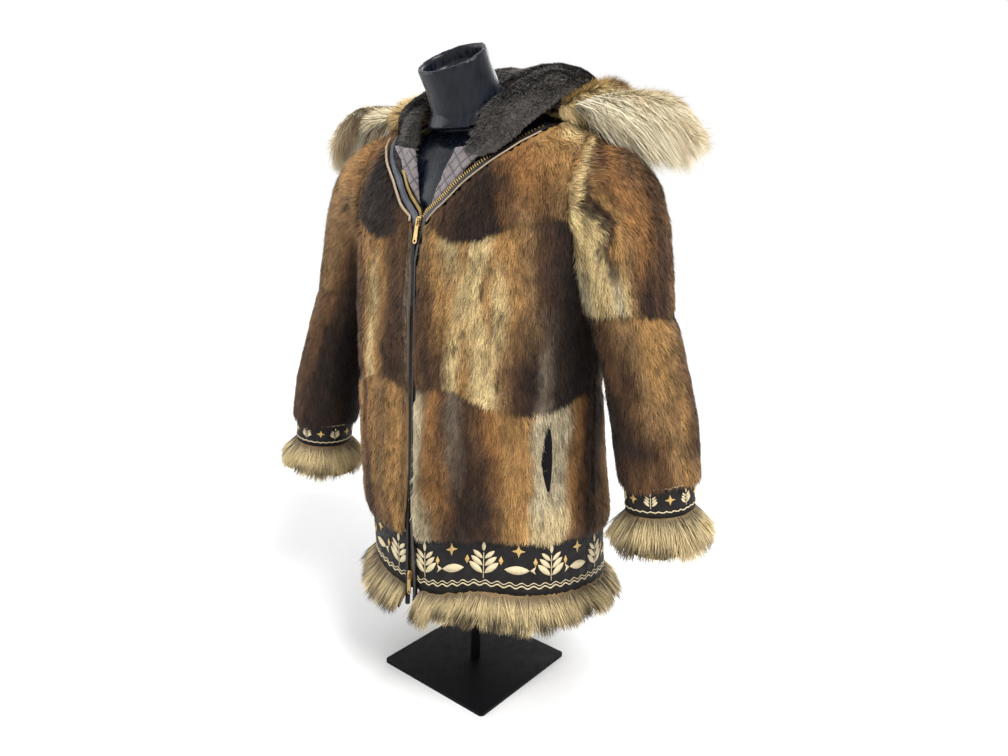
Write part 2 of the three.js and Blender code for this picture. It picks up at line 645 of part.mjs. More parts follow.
function addHem() {
  const cut = edgeOpening(row => Math.min(row.pelt, row.chain + 2 * GAP));
  const [near, far] = BAND_LAYER;
  const past = 10;
  const outside = loft(plainRings(near, [BAND_BOTTOM, BAND_TOP]));
  const inside = loft(plainRings(far, [BAND_BOTTOM - past, BAND_BOTTOM, BAND_TOP, BAND_TOP + past]));
  const band = outside.subtract(inside).subtract(cut);
  const hemPoint = (row, angle, depth, drop) => bodySkin(angle, row.z - drop, depth);
  const trim = wall(trimRings(HEM_TRIM, HEM_LOCKS, HEM_TRIM_SIDES, hemPoint)).subtract(opening);
  for (const [name, side] of sides) {
    addSolid('hem_band_' + name, band.intersect(frontBlock).intersect(sideBlock(side)), 'leather');
    addSolid('hem_trim_' + name, trim.intersect(frontBlock).intersect(sideBlock(side)), 'trim');
  }
  addSolid('hem_band_back', band.intersect(backBlock), 'leather');
  addSolid('hem_trim_back', trim.intersect(backBlock), 'trim');
}

function addSleeve(name, side) {
  const pelts = loft(sleeveOutside(side)).subtract(sleeveTube(side, PELT, SLEEVE_INSIDE));
  addSolid('sleeve_' + name, pelts.subtract(bodyHull), 'pelt');
  const { from, to, depth } = CUFF_BAND;
  const middle = (from + to) / 2;
  const past = 0.3;
  const inside = sleeveTube(side, depth + LEATHER, [from - past, middle, to + past]);
  addSolid('cuff_band_' + name, sleeveTube(side, depth, [from, middle, to]).subtract(inside), 'leather');
  const cuffPoint = (row, angle, deep, drop) => sleevePoint(side, row.at, angle, deep, drop);
  addSolid('cuff_trim_' + name, wall(trimRings(CUFF_TRIM, CUFF_LOCKS, CUFF_TRIM_SIDES, cuffPoint)), 'trim');
}

function addFrontEdges() {
  const welt = bodyLayer(WELT_LAYER);
  const chain = bodyLayer(CHAIN_LAYER);
  const tape = bodyLayer(TAPE_LAYER);
  for (const [name, side] of sides) {
    const weltStrip = edgeStrip(side, row => row.welt, row => row.pelt - GAP, WELT_END);
    const chainStrip = edgeStrip(side, () => 0, row => row.chain, CHAIN_END);
    const tapeStrip = edgeStrip(side, () => 0, row => Math.max(row.pelt - 2, row.chain), CHAIN_END);
    addSolid('welt_' + name, welt.intersect(weltStrip), 'leather');
    addSolid('zip_chain_' + name, chain.intersect(chainStrip), 'brass');
    addSolid('zip_tape_' + name, tape.intersect(tapeStrip), 'tape');
  }
}

function formNeck(grow) {
  const { foot, base, middle, top, lean, footRadius, radius } = NECK;
  const tilt = radians(lean);
  const ring = (centre, size, share) => angles(NECK_SIDES).map(angle => {
    const along = size * Math.cos(angle);
    const y = centre[1] - along * Math.cos(tilt * share);
    return vector(size * Math.sin(angle), y, centre[2] - along * Math.sin(tilt * share));
  });
  return loft([
    ring(foot, footRadius + grow, 0.3),
    ring(base, radius + 4 + grow, 0.75),
    ring(middle, radius + grow - 1, 1),
    ring(top, radius + grow, 1),
  ]);
}

function formRecess() {
  const { top, lean, radius, wall: rim, recess } = NECK;
  const cup = new THREE.CylinderGeometry(radius - rim, radius - rim - 6, recess + 20, NECK_SIDES);
  cup.rotateX(Math.PI / 2).translate(0, 0, 10 - recess / 2);
  return toSolid(cup.rotateX(radians(lean)).translate(...top));
}

function formTorso(grow) {
  const rings = FORM.map(row => angles(FORM_SIDES).map(angle => {
    const wide = { ...row, half: row.half + grow, front: row.front - grow, back: row.back + grow };
    return sectionPoint(wide, angle, row.z + (row === FORM.at(-1) ? grow : 0));
  }));
  return loft(rings);
}

function addStand() {
  const seat = hollow(EDGE_LAYER[1]);
  const bore = POLE_RADIUS + SOCKET_PLAY;
  const socket = new THREE.CylinderGeometry(bore, bore, SOCKET_DEPTH * 2, POLE_SIDES);
  const hole = toSolid(socket.rotateX(Math.PI / 2).translate(0, 0, FORM_BOTTOM));
  const torso = formTorso(0).intersect(seat).subtract(hole);
  addSolid('form', torso.add(formNeck(0)).subtract(formRecess()), 'form');
  const bottom = PLATE_HEIGHT;
  const length = FORM_BOTTOM + SOCKET_DEPTH - GAP - bottom;
  const pole = new THREE.CylinderGeometry(POLE_RADIUS, POLE_RADIUS, length, POLE_SIDES);
  addMesh(coat, 'pole', pole.rotateX(Math.PI / 2), 'stand').position.set(0, 0, bottom + length / 2);
  const half = PLATE_SIDE / 2;
  const outline = new THREE.Shape();
  outline.moveTo(-half + PLATE_CORNER, -half);
  for (const [x, y, start] of [[1, -1, -0.5], [1, 1, 0], [-1, 1, 0.5], [-1, -1, 1]]) {
    const [cx, cy] = [x * (half - PLATE_CORNER), y * (half - PLATE_CORNER)];
    outline.absarc(cx, cy, PLATE_CORNER, start * Math.PI, (start + 0.5) * Math.PI, false);
  }
  const cut = { depth: PLATE_HEIGHT, bevelEnabled: false, curveSegments: 5 };
  const plate = new THREE.ExtrudeGeometry(outline, cut);
  addMesh(coat, 'base_plate', plate, 'stand');
}

function addHood() {
  const pile = loft(pileRings());
  const shape = formTorso(0.6).add(formNeck(0.6));
  const quilts = sides.map(([, side]) => quiltSolid(side));
  addSolid('hood_lining', pile.subtract(edgeKeepOut).subtract(shape), 'pile');
  const pileRoom = loft(grown(pileRings(), 0.5));
  sides.forEach(([name], i) => {
    addSolid('lining_' + name, quilts[i].subtract(pileRoom).subtract(edgeKeepOut).subtract(shape), 'quilt');
  });
  const sleeves = sides.map(([, side]) => loft(sleeveOutside(side, 0.5)));
  const clear = solid => sleeves.reduce((left, sleeve) => left.subtract(sleeve), solid.subtract(bodyHull));
  const shell = clear(loft(hoodRings()).subtract(pileRoom));
  addSolid('hood_shell', shell.subtract(edgeKeepOut), 'pelt');
  const shellRoom = loft(grown(hoodRings(), 0.5));
  for (const [name, side] of sides) {
    addSolid('ruff_' + name, clear(loft(ruffRings(side)).subtract(shellRoom).subtract(pileRoom)), 'ruff');
  }
}

// Quilted lining: a padded sheet from behind the zip to the chest, puffed between its stitching.
function quiltSolid(side) {
  const row = follow(QUILT, 'at');
  const { along, across } = QUILT_STEPS;
  const rings = Array.from({ length: along + 1 }, (_, k) => {
    const here = row((QUILT.at(-1).at * k) / along);
    const outer = corner(here, 'e', side);
    const inner = corner(here, 'n', side);
    inner.x -= side * QUILT_REACH[side > 0 ? 'left' : 'right'];
    const strip = Array.from({ length: across + 1 }, (_, j) => outer.clone().lerp(inner, j / across));
    const front = strip.map((p, j) => {
      const puff = QUILT_PUFF * Math.abs(Math.sin((Math.PI * (k + j)) / 3));
      return p.clone().add(vector(0, -puff, puff));
    });
    const rear = strip.map(p => p.clone().add(vector(0, QUILT_THICK, -1)));
    return [...front, ...rear.reverse()];
  });
  return loft(rings);
}

// ---------------------------------------------------------------- zip hardware
function sliderSolid() {
  const { top, bottom, height, depth, bridge, arch, reach, wire } = SLIDER;
  const outline = new THREE.Shape();
  outline.moveTo(-bottom, -height * 0.62);
  outline.lineTo(bottom, -height * 0.62);
  outline.quadraticCurveTo(top, -height * 0.1, top, height * 0.2);
  outline.quadraticCurveTo(top, height * 0.38, 0, height * 0.38);
  outline.quadraticCurveTo(-top, height * 0.38, -top, height * 0.2);
  outline.quadraticCurveTo(-top, -height * 0.1, -bottom, -height * 0.62);
  const body = new THREE.ExtrudeGeometry(outline, { depth, bevelEnabled: false, curveSegments: 4 });
  body.rotateX(Math.PI / 2).translate(0, depth, 0);
  // The bridge is an arch over the hinge, seen from the side.
  const side = new THREE.Shape();
  side.moveTo(0.5, -arch);
  side.lineTo(-reach + 1.2, -arch);
  side.lineTo(-reach, -arch + 1.2);
  side.lineTo(-reach, arch - 1.2);
  side.lineTo(-reach + 1.2, arch);
  side.lineTo(0.5, arch);
  const room = new THREE.Path();
  room.moveTo(-0.4, -arch + wire);
  room.lineTo(-0.4, arch - wire);
  room.lineTo(-reach + wire, arch - wire);
  room.lineTo(-reach + wire, -arch + wire);
  room.closePath();
  side.holes.push(room);
  const bow = new THREE.ExtrudeGeometry(side, { depth: bridge, bevelEnabled: false });
  const upright = new THREE.Matrix4().makeBasis(vector(0, 1, 0), vector(0, 0, 1), vector(1, 0, 0));
  bow.translate(0, 0, -bridge / 2).applyMatrix4(upright);
  return toSolid(body).add(toSolid(bow));
}

function pullSolid() {
  const { width, neck, length, thick, slot, slotDrop, bar, hole } = PULL;
  const outline = new THREE.Shape();
  outline.moveTo(-neck / 2, bar / 2);
  outline.lineTo(-neck / 2, -slotDrop - 2);
  outline.lineTo(-width / 2, -length + 5);
  outline.absarc(0, -length + 5, width / 2, Math.PI, 2 * Math.PI, false);
  outline.lineTo(neck / 2, -slotDrop - 2);
  outline.lineTo(neck / 2, bar / 2);
  const eye = new THREE.Path();
  eye.absarc(0, -length + 5, hole, 0, 2 * Math.PI, true);
  const gate = new THREE.Path();
  gate.moveTo(-slot / 2, -bar / 2);
  gate.lineTo(-slot / 2, -slotDrop);
  gate.lineTo(slot / 2, -slotDrop);
  gate.lineTo(slot / 2, -bar / 2);
  gate.closePath();
  outline.holes.push(eye, gate);
  const plate = new THREE.ExtrudeGeometry(outline, { depth: thick, bevelEnabled: false, curveSegments: 6 });
  return toSolid(plate.rotateX(Math.PI / 2).translate(0, thick / 2, 0));
}

function addSlider(name, z) {
  const here = bodySkin(0, z, SLIDER_DEPTH).setX(0);
  const below = bodySkin(0, z - 30, SLIDER_DEPTH).setX(0);
  const holder = new THREE.Group();
  holder.position.copy(here);
  holder.rotation.x = Math.atan2(below.y - here.y, z - below.z);
  coat.add(holder);
  addMesh(holder, 'slider_' + name, toGeometry(main(sliderSolid())), 'brass');
  const pull = addMesh(holder, 'pull_' + name, toGeometry(main(pullSolid())), 'brass');
  pull.position.set(0, -(SLIDER.reach - SLIDER.wire) / 2 - 0.1, 0);
}

addStand();
addBody();
addHem();
for (const [name, side] of sides) addSleeve(name, side);
addFrontEdges();
addSlider('top', TOP_SLIDER);
addSlider('bottom', BOTTOM_SLIDER);
addHood();

export default coat;
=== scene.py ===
"""Looks of a hooded fur coat on a torso stand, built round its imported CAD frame."""

import json
import math

import bmesh
import bpy
import numpy as np
from mathutils import Matrix, Vector
from mathutils.bvhtree import BVHTree

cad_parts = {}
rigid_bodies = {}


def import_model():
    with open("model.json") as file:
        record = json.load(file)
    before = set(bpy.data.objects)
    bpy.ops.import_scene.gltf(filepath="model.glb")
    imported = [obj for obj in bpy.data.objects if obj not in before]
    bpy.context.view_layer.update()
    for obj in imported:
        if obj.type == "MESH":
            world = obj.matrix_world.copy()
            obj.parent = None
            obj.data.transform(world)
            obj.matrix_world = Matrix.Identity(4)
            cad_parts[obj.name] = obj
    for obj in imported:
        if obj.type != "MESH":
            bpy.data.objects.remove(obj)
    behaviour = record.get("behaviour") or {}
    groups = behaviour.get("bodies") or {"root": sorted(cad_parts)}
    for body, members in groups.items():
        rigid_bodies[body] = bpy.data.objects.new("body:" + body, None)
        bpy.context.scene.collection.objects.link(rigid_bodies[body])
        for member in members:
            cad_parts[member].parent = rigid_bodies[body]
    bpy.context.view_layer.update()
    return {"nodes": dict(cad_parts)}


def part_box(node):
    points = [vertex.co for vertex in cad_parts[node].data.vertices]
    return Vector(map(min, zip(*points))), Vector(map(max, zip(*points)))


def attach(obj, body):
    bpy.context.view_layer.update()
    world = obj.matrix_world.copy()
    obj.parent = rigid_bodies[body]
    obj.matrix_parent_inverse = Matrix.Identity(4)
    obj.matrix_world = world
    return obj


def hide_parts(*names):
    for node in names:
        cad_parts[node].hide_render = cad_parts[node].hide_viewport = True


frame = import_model()
NODES = frame["nodes"]

bl_info = {
    "name": "Fur coat looks",
    "version": (1, 0, 0),
    "blender": (4, 5, 0),
    "location": "View3D > Sidebar > Coat",
    "description": "Builds the fur, leather, zip, lining and stand of a hooded fur coat",
    "category": "Object",
}

# ---------------------------------------------------------------- colours and markings
# Colours of the pelts, one letter each.
PELT_COLOURS = {
    "k": (0.120, 0.090, 0.076),
    "d": (0.205, 0.150, 0.120),
    "u": (0.310, 0.220, 0.155),
    "b": (0.430, 0.310, 0.200),
    "t": (0.580, 0.450, 0.295),
    "g": (0.700, 0.535, 0.325),
    "o": (0.620, 0.440, 0.255),
    "c": (0.880, 0.775, 0.560),
    "w": (0.780, 0.720, 0.590),
    "y": (0.480, 0.425, 0.360),
}

# Markings: for each course of pelts, heights in metres with the colours met round the coat.
# A number is the angle from the front, plus towards the wearer's left, and the letter its colour.
YOKE = {
    0.985: (
        "-80b -70o -60b -50d -35d -22u -8b 12b 34u 44u 51o 60o 68g 76g 84c 100b 120u 140d 160b 180t "
        "200b 222d 240u 262b"
    ),
    0.940: (
        "-80t -70t -62b -55k -36d -22d -12u 0b 30u 44d 50u 57o 66o 73g 80c 88c 104b 124d 142u 160b "
        "180t 200b 220d 244u 262b"
    ),
    0.890: (
        "-80t -70t -62u -52d -36d -22d -12b 0t 14b 22u 31d 44d 50b 57t 65b 71t 77c 86c 104t 124u "
        "142b 160t 180g 200t 220u 244b 262t"
    ),
}
MIDDLE = {
    0.830: (
        "-70b -44g -36g -27g -20b -12b -4b 8t 16g 25c 31g 36c 41c 46g 52g 58t 64u 71d 80k 92u 104g "
        "112t 128d 140b 154c 168g 180d 192g 206c 220b 232d 248t 258g"
    ),
    0.750: (
        "-70d -44b -38g -31c -25g -18b -10u -3b 4u 10b 18g 26g 32c 38c 43g 48c 54g 59t 64u 69d 76k "
        "84d 90u 104g 114t 128d 140b 154c 168g 180d 192g 206c 220b 232d 248t 258b"
    ),
    0.650: (
        "-70d -46b -41g -34c -28g -22u -12u -3b 5b 13u 20b 27c 33g 39c 45c 50t 55u 60d 65y 71d 82k "
        "94d 108t 118g 130d 142b 154c 168b 180d 192b 206c 220b 232d 248u 258b"
    ),
}
LOWER = {
    0.540: (
        "-70b -52t -46g -41b -37o -33g -25t -17g -10g -3t 2w 7w 11t 16o 22b 28y 35u 41b 47o 53g 60g "
        "65w 70w 75w 79t 85o 92u 99d 108t 120b 134d 146g 158c 170t 180b 192u 204c 216b 230d 246g 258t"
    ),
    0.430: (
        "-70b -52g -45t -39b -35u -30g -24t -16g -10g -3t 2w 7w 11t 16o 23o 29u 35d 42d 47b 53g 60g "
        "65w 70w 75w 79o 86b 93d 100b 110g 120b 134d 146g 158c 170t 180b 192u 204c 216b 230d 246g "
        "258t"
    ),
    0.350: (
        "-70u -52b -45t -39u -34u -28b -22t -16b -10g -3t 3w 13w 19t 24u 32d 40u 46b 52g 59g 64c 70c "
        "76c 82b 90u 98b 106b 120t 134u 146g 158c 170t 180t 192b 204c 216b 230u 246b 258b"
    ),
}
SLEEVES = {
    "left_upper": {
        0.950: "-60t -20g 4g 12c 20t 31b 43o 58b 76b 92u 120b 150u 180b 210d 250u",
        0.887: "-60c -20c 4c 12c 19u 27g 38o 60o 76b 92b 120t 150u 180t 210d 250b",
        0.830: "-60b -20c 0c 10c 17u 25g 38t 52o 67b 85u 120b 150u 180t 210u 250b",
        0.770: "-60b -30w -8c 8c 20w 28c 36t 46u 58d 72u 85u 120t 150b 180g 210t 250b",
    },
    "left_lower": {
        0.720: "-60d -34u -6b 10t 26t 40g 55g 72g 97t 130b 160u 190t 220b 260u",
        0.650: "-60d -30u -4b 14u 28t 42g 57g 74t 97b 130u 160u 190b 220t 260u",
        0.600: "-60k -20d 0u 14b 30t 44t 59t 80g 100b 130u 160d 190b 220t 260d",
        0.540: "-60k -26d -4d 11d 25u 38b 53t 70t 90b 130u 160d 190b 220b 260d",
        0.490: "-60d -20u 0b 14b 25b 40b 55t 70g 90t 130b 160u 190b 220b 260u",
    },
    "right_upper": {
        0.945: "-60u -24b -6o 12g 24g 50t 90b 130u 180b 230t 270u",
        0.880: "-60u -36b -20t -5t 12t 30t 60b 90t 130u 180b 230t 270u",
        0.795: "-60d -36u -24b -10t 8t 30t 60b 90t 130u 180b 230t 270u",
    },
    # On the far sleeve the black (k) at -90 to -56 degrees, the side that faces the body, is painted shade.
    "right_lower": {
        0.712: "-90k -51d -37u -22b -6b 20t 40t 60b 100u 150d 200b 240u",
        0.634: "-90k -56k -41d -26d -9b 17b 40t 60b 100u 150d 200b 240u",
        0.551: "-90k -56k -41d -26d -10u 15b 40b 60u 100u 150d 200u 240d",
        0.470: "-90k -66d -36d -21d -3u 20u 40b 60u 100d 150d 200u 240d",
    },
}
HOOD_MARKS = {1.0: "-180g -140t -100c -60g 0t 50c 95c 120g 150g"}

# Places where the fur parts, darkened there as painted shade: angle, height and half its height in metres.
BODY_PARTING_SHADE = [
    (40.5, 0.766, 0.018), (49, 0.732, 0.016), (28, 0.674, 0.015), (48, 0.622, 0.016),
    (33, 0.700, 0.010), (152, 0.700, 0.020), (210, 0.620, 0.018),
]
SLEEVE_PARTING_SHADE = {
    "left": [(15, 0.893, 0.050), (22, 0.880, 0.040), (10, 0.832, 0.020)],
    "right": [(5, 0.880, 0.020), (-20, 0.640, 0.016)],
}

# Seams between the courses: mean height, wave, where it turns and half a wave in degrees.
MID_SEAM = (0.590, 0.014, 22, 38)
YOKE_SEAM = (0.858, -0.020, 30, 38)
SLEEVE_SEAM = {"left": 0.738, "right": 0.724}

# Middle lines of the sleeves, top to bottom.
SLEEVE_LINES = {
    "left": [
        (0.150, 0.008, 0.870), (0.225, 0.008, 0.868), (0.268, 0.007, 0.835), (0.286, 0.006, 0.775),
        (0.307, 0.010, 0.692), (0.338, 0.018, 0.585), (0.362, 0.018, 0.480), (0.375, 0.016, 0.380),
    ],
    "right": [
        (-0.150, -0.010, 0.870), (-0.240, -0.012, 0.868), (-0.286, -0.016, 0.830),
        (-0.305, -0.020, 0.775), (-0.326, -0.034, 0.690), (-0.357, -0.050, 0.580),
        (-0.380, -0.056, 0.460), (-0.395, -0.058, 0.340),
    ],
}

# Left edge of the neck opening, from the slider up: x and z of the inner side of the teeth.
NECK_LINE = [
    (0.0006, 0.868), (0.006, 0.880), (0.034, 0.903), (0.064, 0.936), (0.123, 0.986), (0.156, 1.016)
]
# Hair of the ruff, from the back round to the front: root, how it lies over the shoulder, and tips.
RUFF = [
    ((0.000, 0.262, 1.052), (0.000, 0.316, 1.034), (0.000, 0.346, 0.962)),
    ((0.118, 0.240, 1.056), (0.148, 0.288, 1.042), (0.168, 0.318, 0.972)),
    ((0.198, 0.168, 1.064), (0.254, 0.206, 1.052), (0.290, 0.232, 0.984)),
    ((0.234, 0.066, 1.062), (0.308, 0.088, 1.050), (0.356, 0.100, 0.962)),
    ((0.226, -0.004, 1.050), (0.298, 0.026, 1.038), (0.356, 0.050, 0.936)),
    ((0.206, -0.034, 1.036), (0.266, -0.016, 1.020), (0.316, 0.018, 0.962)),
]
DOWN = (0.0, 0.0, -1.0)

# The photo's camera: place, degrees round, down and of roll, and lens in mm on a 36 mm sensor.
CAMERA_AT = (0.883, -1.022, 0.899)
CAMERA_TURNS = (39.0, 13.31, 1.49)
CAMERA_LENS = 27.04
# Area lamps: place, size, watts and colour, all aimed at the coat's middle.
LAMPS = {
    "key": ((2.3, -1.2, 2.9), 1.3, 30.0, (1.0, 0.98, 0.95)),
    "fill": ((-2.2, -1.6, 1.5), 2.0, 24.0, (0.95, 0.98, 1.0)),
    "back": ((-0.6, 2.4, 2.3), 1.8, 24.0, (1.0, 1.0, 1.0)),
}
COAT_MIDDLE = (0, 0, 0.65)
SUN_WAY = (-2.3, 0.6, -2.7)

# How far each half of the ruff reaches out, as a factor, and how far it moves back.
RUFF_HANG = {"left": (1.0, 0.0), "right": (1.15, -0.044)}

# The flattened strip of pelt beside the zip: its width, and where it ends under the neck opening.
PLACKET_WIDTH = 0.019
PLACKET_TOP = 0.85

# The closed zip: from its lowest tooth to the upper slider.
CLOSED_ZIP = (0.2415, 0.846)
# From the teeth out to the far side of the welt along the neck opening.
WELT_REACH = 0.0172
# Degrees from straight ahead that the pocket slits face.
POCKET_FACING = 62

# Waving lines on the bands: share of the height, swing, pitch and width.
HEM_WAVES = ((0.10, 0.0026, 0.020, 0.0022), (0.15, 0.0026, 0.020, 0.0014), (0.88, 0.0026, 0.020, 0.0022))
CUFF_WAVES = ((0.12, 0.0012, 0.012, 0.0017), (0.88, 0.0012, 0.012, 0.0017))

# From one ray to the next when a band is unrolled, in degrees round it and metres up.
BAND_STEP = 0.75
BAND_RISE = 0.002

# How deep the hides lie under the outsides of their nodes, so that the hair has room.
PELT_INSET = 0.0055
TRIM_INSET = 0.004
RUFF_INSET = 0.0035
# Hairs on a square metre of sheared pile.
PILE_DENSITY = 460000

# The trims' lengths round the coat, then their height.
HEM_TRIMS = {"hem_trim_left": 0.36, "hem_trim_right": 0.33, "hem_trim_back": 0.62}
CUFF_TRIM_LENGTH = 0.30
TRIM_HEIGHT = 0.09


def linear(rgb):
    """sRGB to linear."""
    c = np.asarray(rgb, float)
    return np.where(c <= 0.04045, c / 12.92, ((c + 0.055) / 1.055) ** 2.4)


# ---------------------------------------------------------------- settings
def length_setting(name, description, default):
    return bpy.props.FloatProperty(name=name, description=description, default=default, unit="LENGTH")


def density_setting(name, description, default):
    return bpy.props.FloatProperty(name=name, description=description, default=default)


def colour_setting(name, description, default):
    return bpy.props.FloatVectorProperty(
        name=name, description=description, subtype="COLOR", default=default
    )


class CoatFur(bpy.types.PropertyGroup):
    """Fur of the pelts and trims."""

    pelt_hair: length_setting("Pelt hair", "Length of the pelts' hair", 0.0145)
    pelt_density: density_setting("Pelt density", "Hairs on a square metre of pelt", 410000.0)
    hair_width: length_setting("Hair width", "Width of a lock of hair at its root", 0.00125)
    pile_hair: length_setting("Pile", "Length of the sheared pile", 0.006)
    trim_hair: length_setting("Trim hair", "Length of the hem's trim", 0.056)
    cuff_hair: length_setting("Cuff hair", "Length of the cuffs' trims", 0.058)
    trim_density: density_setting("Trim density", "Hairs on a square metre of trim", 245000.0)
    ruff_hairs: bpy.props.IntProperty(
        name="Ruff hairs", description="Long hairs on each half of the ruff", default=17000
    )
    ruff_density: density_setting("Ruff undercoat", "Short hairs on a square metre of ruff", 200000.0)


class CoatColours(bpy.types.PropertyGroup):
    """Colours of what isn't marked fur."""

    leather: colour_setting("Leather", "Bands and piping", (0.006, 0.005, 0.005))
    strip: colour_setting("Strip", "Leather strip right of the zip", (0.060, 0.066, 0.080))
    inlay: colour_setting("Inlay", "Ornaments of the bands", (0.60, 0.50, 0.31))
    gold: colour_setting("Gold inlay", "Stars of the bands", (0.52, 0.34, 0.11))
    quilt: colour_setting("Quilt", "Quilted lining", (0.135, 0.108, 0.112))
    pile: colour_setting("Pile", "Sheared lining", (0.088, 0.079, 0.072))
    brass: colour_setting("Brass", "Zip", (0.42, 0.29, 0.12))
    edge: colour_setting("Pelt edge", "Cut edge of the pelts", (0.34, 0.26, 0.18))
    form: colour_setting("Form", "Torso form", (0.002, 0.003, 0.006))


class CoatZip(bpy.types.PropertyGroup):
    """Zip."""

    pitch: length_setting("Pitch", "From tooth to tooth on one side", 0.0038)
    tooth: bpy.props.FloatVectorProperty(
        name="Tooth",
        description="Length out from the edge, width along it and height",
        default=(0.0064, 0.0021, 0.0036),
        unit="LENGTH",
    )


# ---------------------------------------------------------------- numbers
def hashed(ix, iy, iz, seed):
    """A repeatable number from 0 to 1 for each cell of a grid."""
    h = (ix * 374761393 + iy * 668265263 + iz * 2147483647 + seed * 974711) & 0xFFFFFFFF
    h = ((h ^ (h >> 13)) * 1274126177) & 0xFFFFFFFF
    return ((h ^ (h >> 16)) & 0xFFFF) / 65535.0


def noise(p, size, seed=0):
    """Smooth noise from -1 to 1 at points p, with features of that size."""
    q = np.asarray(p, float) / size
    base = np.floor(q).astype(np.int64)
    f = q - base
    f = f * f * (3 - 2 * f)
    total = np.zeros(len(q))
    for dx in (0, 1):
        for dy in (0, 1):
            for dz in (0, 1):
                w = (f[:, 0] if dx else 1 - f[:, 0]) * (f[:, 1] if dy else 1 - f[:, 1])
                w = w * (f[:, 2] if dz else 1 - f[:, 2])
                total += w * hashed(base[:, 0] + dx, base[:, 1] + dy, base[:, 2] + dz, seed)
    return total * 2 - 1


def unit(v):
    """Vectors of length 1."""
    return v / np.maximum(np.linalg.norm(v, axis=-1, keepdims=True), 1e-12)


def smooth(value, low, high):
    """0 below low, 1 above high and a soft step between."""
    t = np.clip((value - low) / (high - low), 0, 1)
    return t * t * (3 - 2 * t)


def turned(v, axis, angle):
    """Vectors turned about unit axes."""
    c, s = np.cos(angle)[:, None], np.sin(angle)[:, None]
    return v * c + np.cross(axis, v) * s + axis * (axis * v).sum(1)[:, None] * (1 - c)


def markings(table, angle, height):
    """Colours of a table of markings at angles in degrees and heights."""
    levels = sorted(table)
    rows = []
    for level in levels:
        stops = [(float(s[:-1]) % 360, PELT_COLOURS[s[-1]]) for s in table[level].split()]
        stops.sort()
        at = np.array([s[0] for s in stops])
        rgb = linear([s[1] for s in stops])
        at = np.concatenate([[at[-1] - 360], at, [at[0] + 360]])
        rgb = np.concatenate([rgb[-1:], rgb, rgb[:1]])
        k = np.clip(np.searchsorted(at, angle % 360, side="right") - 1, 0, len(at) - 2)
        t = (angle % 360 - at[k]) / (at[k + 1] - at[k])
        t = (t * t * (3 - 2 * t))[:, None]
        rows.append(rgb[k] * (1 - t) + rgb[k + 1] * t)
    if len(levels) == 1:
        return rows[0]
    k = np.clip(np.searchsorted(levels, height) - 1, 0, len(levels) - 2)
    low, high = np.array(levels)[k], np.array(levels)[k + 1]
    t = np.clip((height - low) / (high - low), 0, 1)[:, None]
    both = np.array(rows)
    n = np.arange(len(angle))
    return both[k, n] * (1 - t) + both[k + 1, n] * t


def seam_height(seam, angle):
    """Height of a waving seam at angles round the coat."""
    z, wave, turn, half = seam
    off = np.abs((angle + 180) % 360 - 180)
    return z + wave * np.cos(np.pi * (off - turn) / half)


def shaded_partings(angle, height, parting_lines, reach):
    """Painted shade where the fur parts, on a surface that far from its middle."""
    dark = np.zeros(len(angle))
    for at, level, half in parting_lines:
        along = (height - level) / half
        off = np.radians(angle - at) * reach + 0.0016 * np.sin(height * 420 + at)
        wide = 0.0036 * np.clip(1 - along**2, 0.02, 1)
        dark = np.maximum(dark, np.exp(-((off / wide) ** 2)) * (np.abs(along) < 1))
    return (1 - 0.84 * dark)[:, None]


def body_angle(p):
    """Degrees round the body: 0 in front, 90 at the left arm."""
    return np.degrees(np.arctan2(p[:, 0], -p[:, 1]))


def on_placket(p):
    """True on the flattened strip of pelt beside the zip."""
    return (p[:, 0] > -PLACKET_WIDTH) & (p[:, 0] < 0) & (p[:, 1] < 0) & (p[:, 2] < PLACKET_TOP)


def body_tint(p):
    """Colour of the body's pelts at points on it."""
    wobble = noise(p, 0.05, 1)
    angle = body_angle(p) + 3.0 * wobble + 1.2 * noise(p, 0.012, 2)
    height = p[:, 2] + 0.016 * noise(p, 0.06, 3) + 0.006 * noise(p, 0.015, 4)
    plain = body_angle(p)
    mid, yoke = seam_height(MID_SEAM, plain), seam_height(YOKE_SEAM, plain)
    tint = markings(LOWER, angle, height)
    above = (p[:, 2] > mid)[:, None]
    tint = np.where(above, markings(MIDDLE, angle, height), tint)
    top = (p[:, 2] > yoke)[:, None]
    tint = np.where(top, markings(YOKE, angle, height), tint)
    near = np.minimum(np.abs(p[:, 2] - mid), np.abs(p[:, 2] - yoke))
    tint = tint * (1 - 0.30 * np.exp(-((near / 0.003) ** 2)))[:, None]
    # Painted shade along the partings in the fur.
    tint = tint * shaded_partings(plain % 360, p[:, 2], BODY_PARTING_SHADE, 0.2)
    share = (on_placket(p) * smooth(p[:, 2], 0.48, 0.66))[:, None]
    grey = linear((0.47, 0.41, 0.35)) * (1 + 0.3 * noise(p * (1, 1, 3), 0.012, 6))[:, None]
    return tint * (1 - share) + grey * share


def sleeve_frame(side, p):
    """Nearest point of a sleeve's middle line, its direction and the angle round it, 90 being outwards."""
    line = np.array(SLEEVE_LINES[side])
    best = np.full(len(p), 1e9)
    middle, way = np.zeros_like(p), np.zeros_like(p)
    for a, b in zip(line[:-1], line[1:]):
        d = b - a
        t = np.clip(((p - a) @ d) / (d @ d), 0, 1)
        q = a + t[:, None] * d
        off = np.linalg.norm(p - q, axis=1)
        closer = off < best
        best = np.where(closer, off, best)
        middle[closer] = q[closer]
        way[closer] = d / np.linalg.norm(d)
    sign = 1 if side == "left" else -1
    angle = np.degrees(np.arctan2((p[:, 0] - middle[:, 0]) * sign, -(p[:, 1] - middle[:, 1])))
    return middle, way, angle


def sleeve_end(side):
    """The way in which a sleeve points at its cuff."""
    way = np.array(SLEEVE_LINES[side][-1]) - np.array(SLEEVE_LINES[side][-2])
    return way / np.linalg.norm(way)


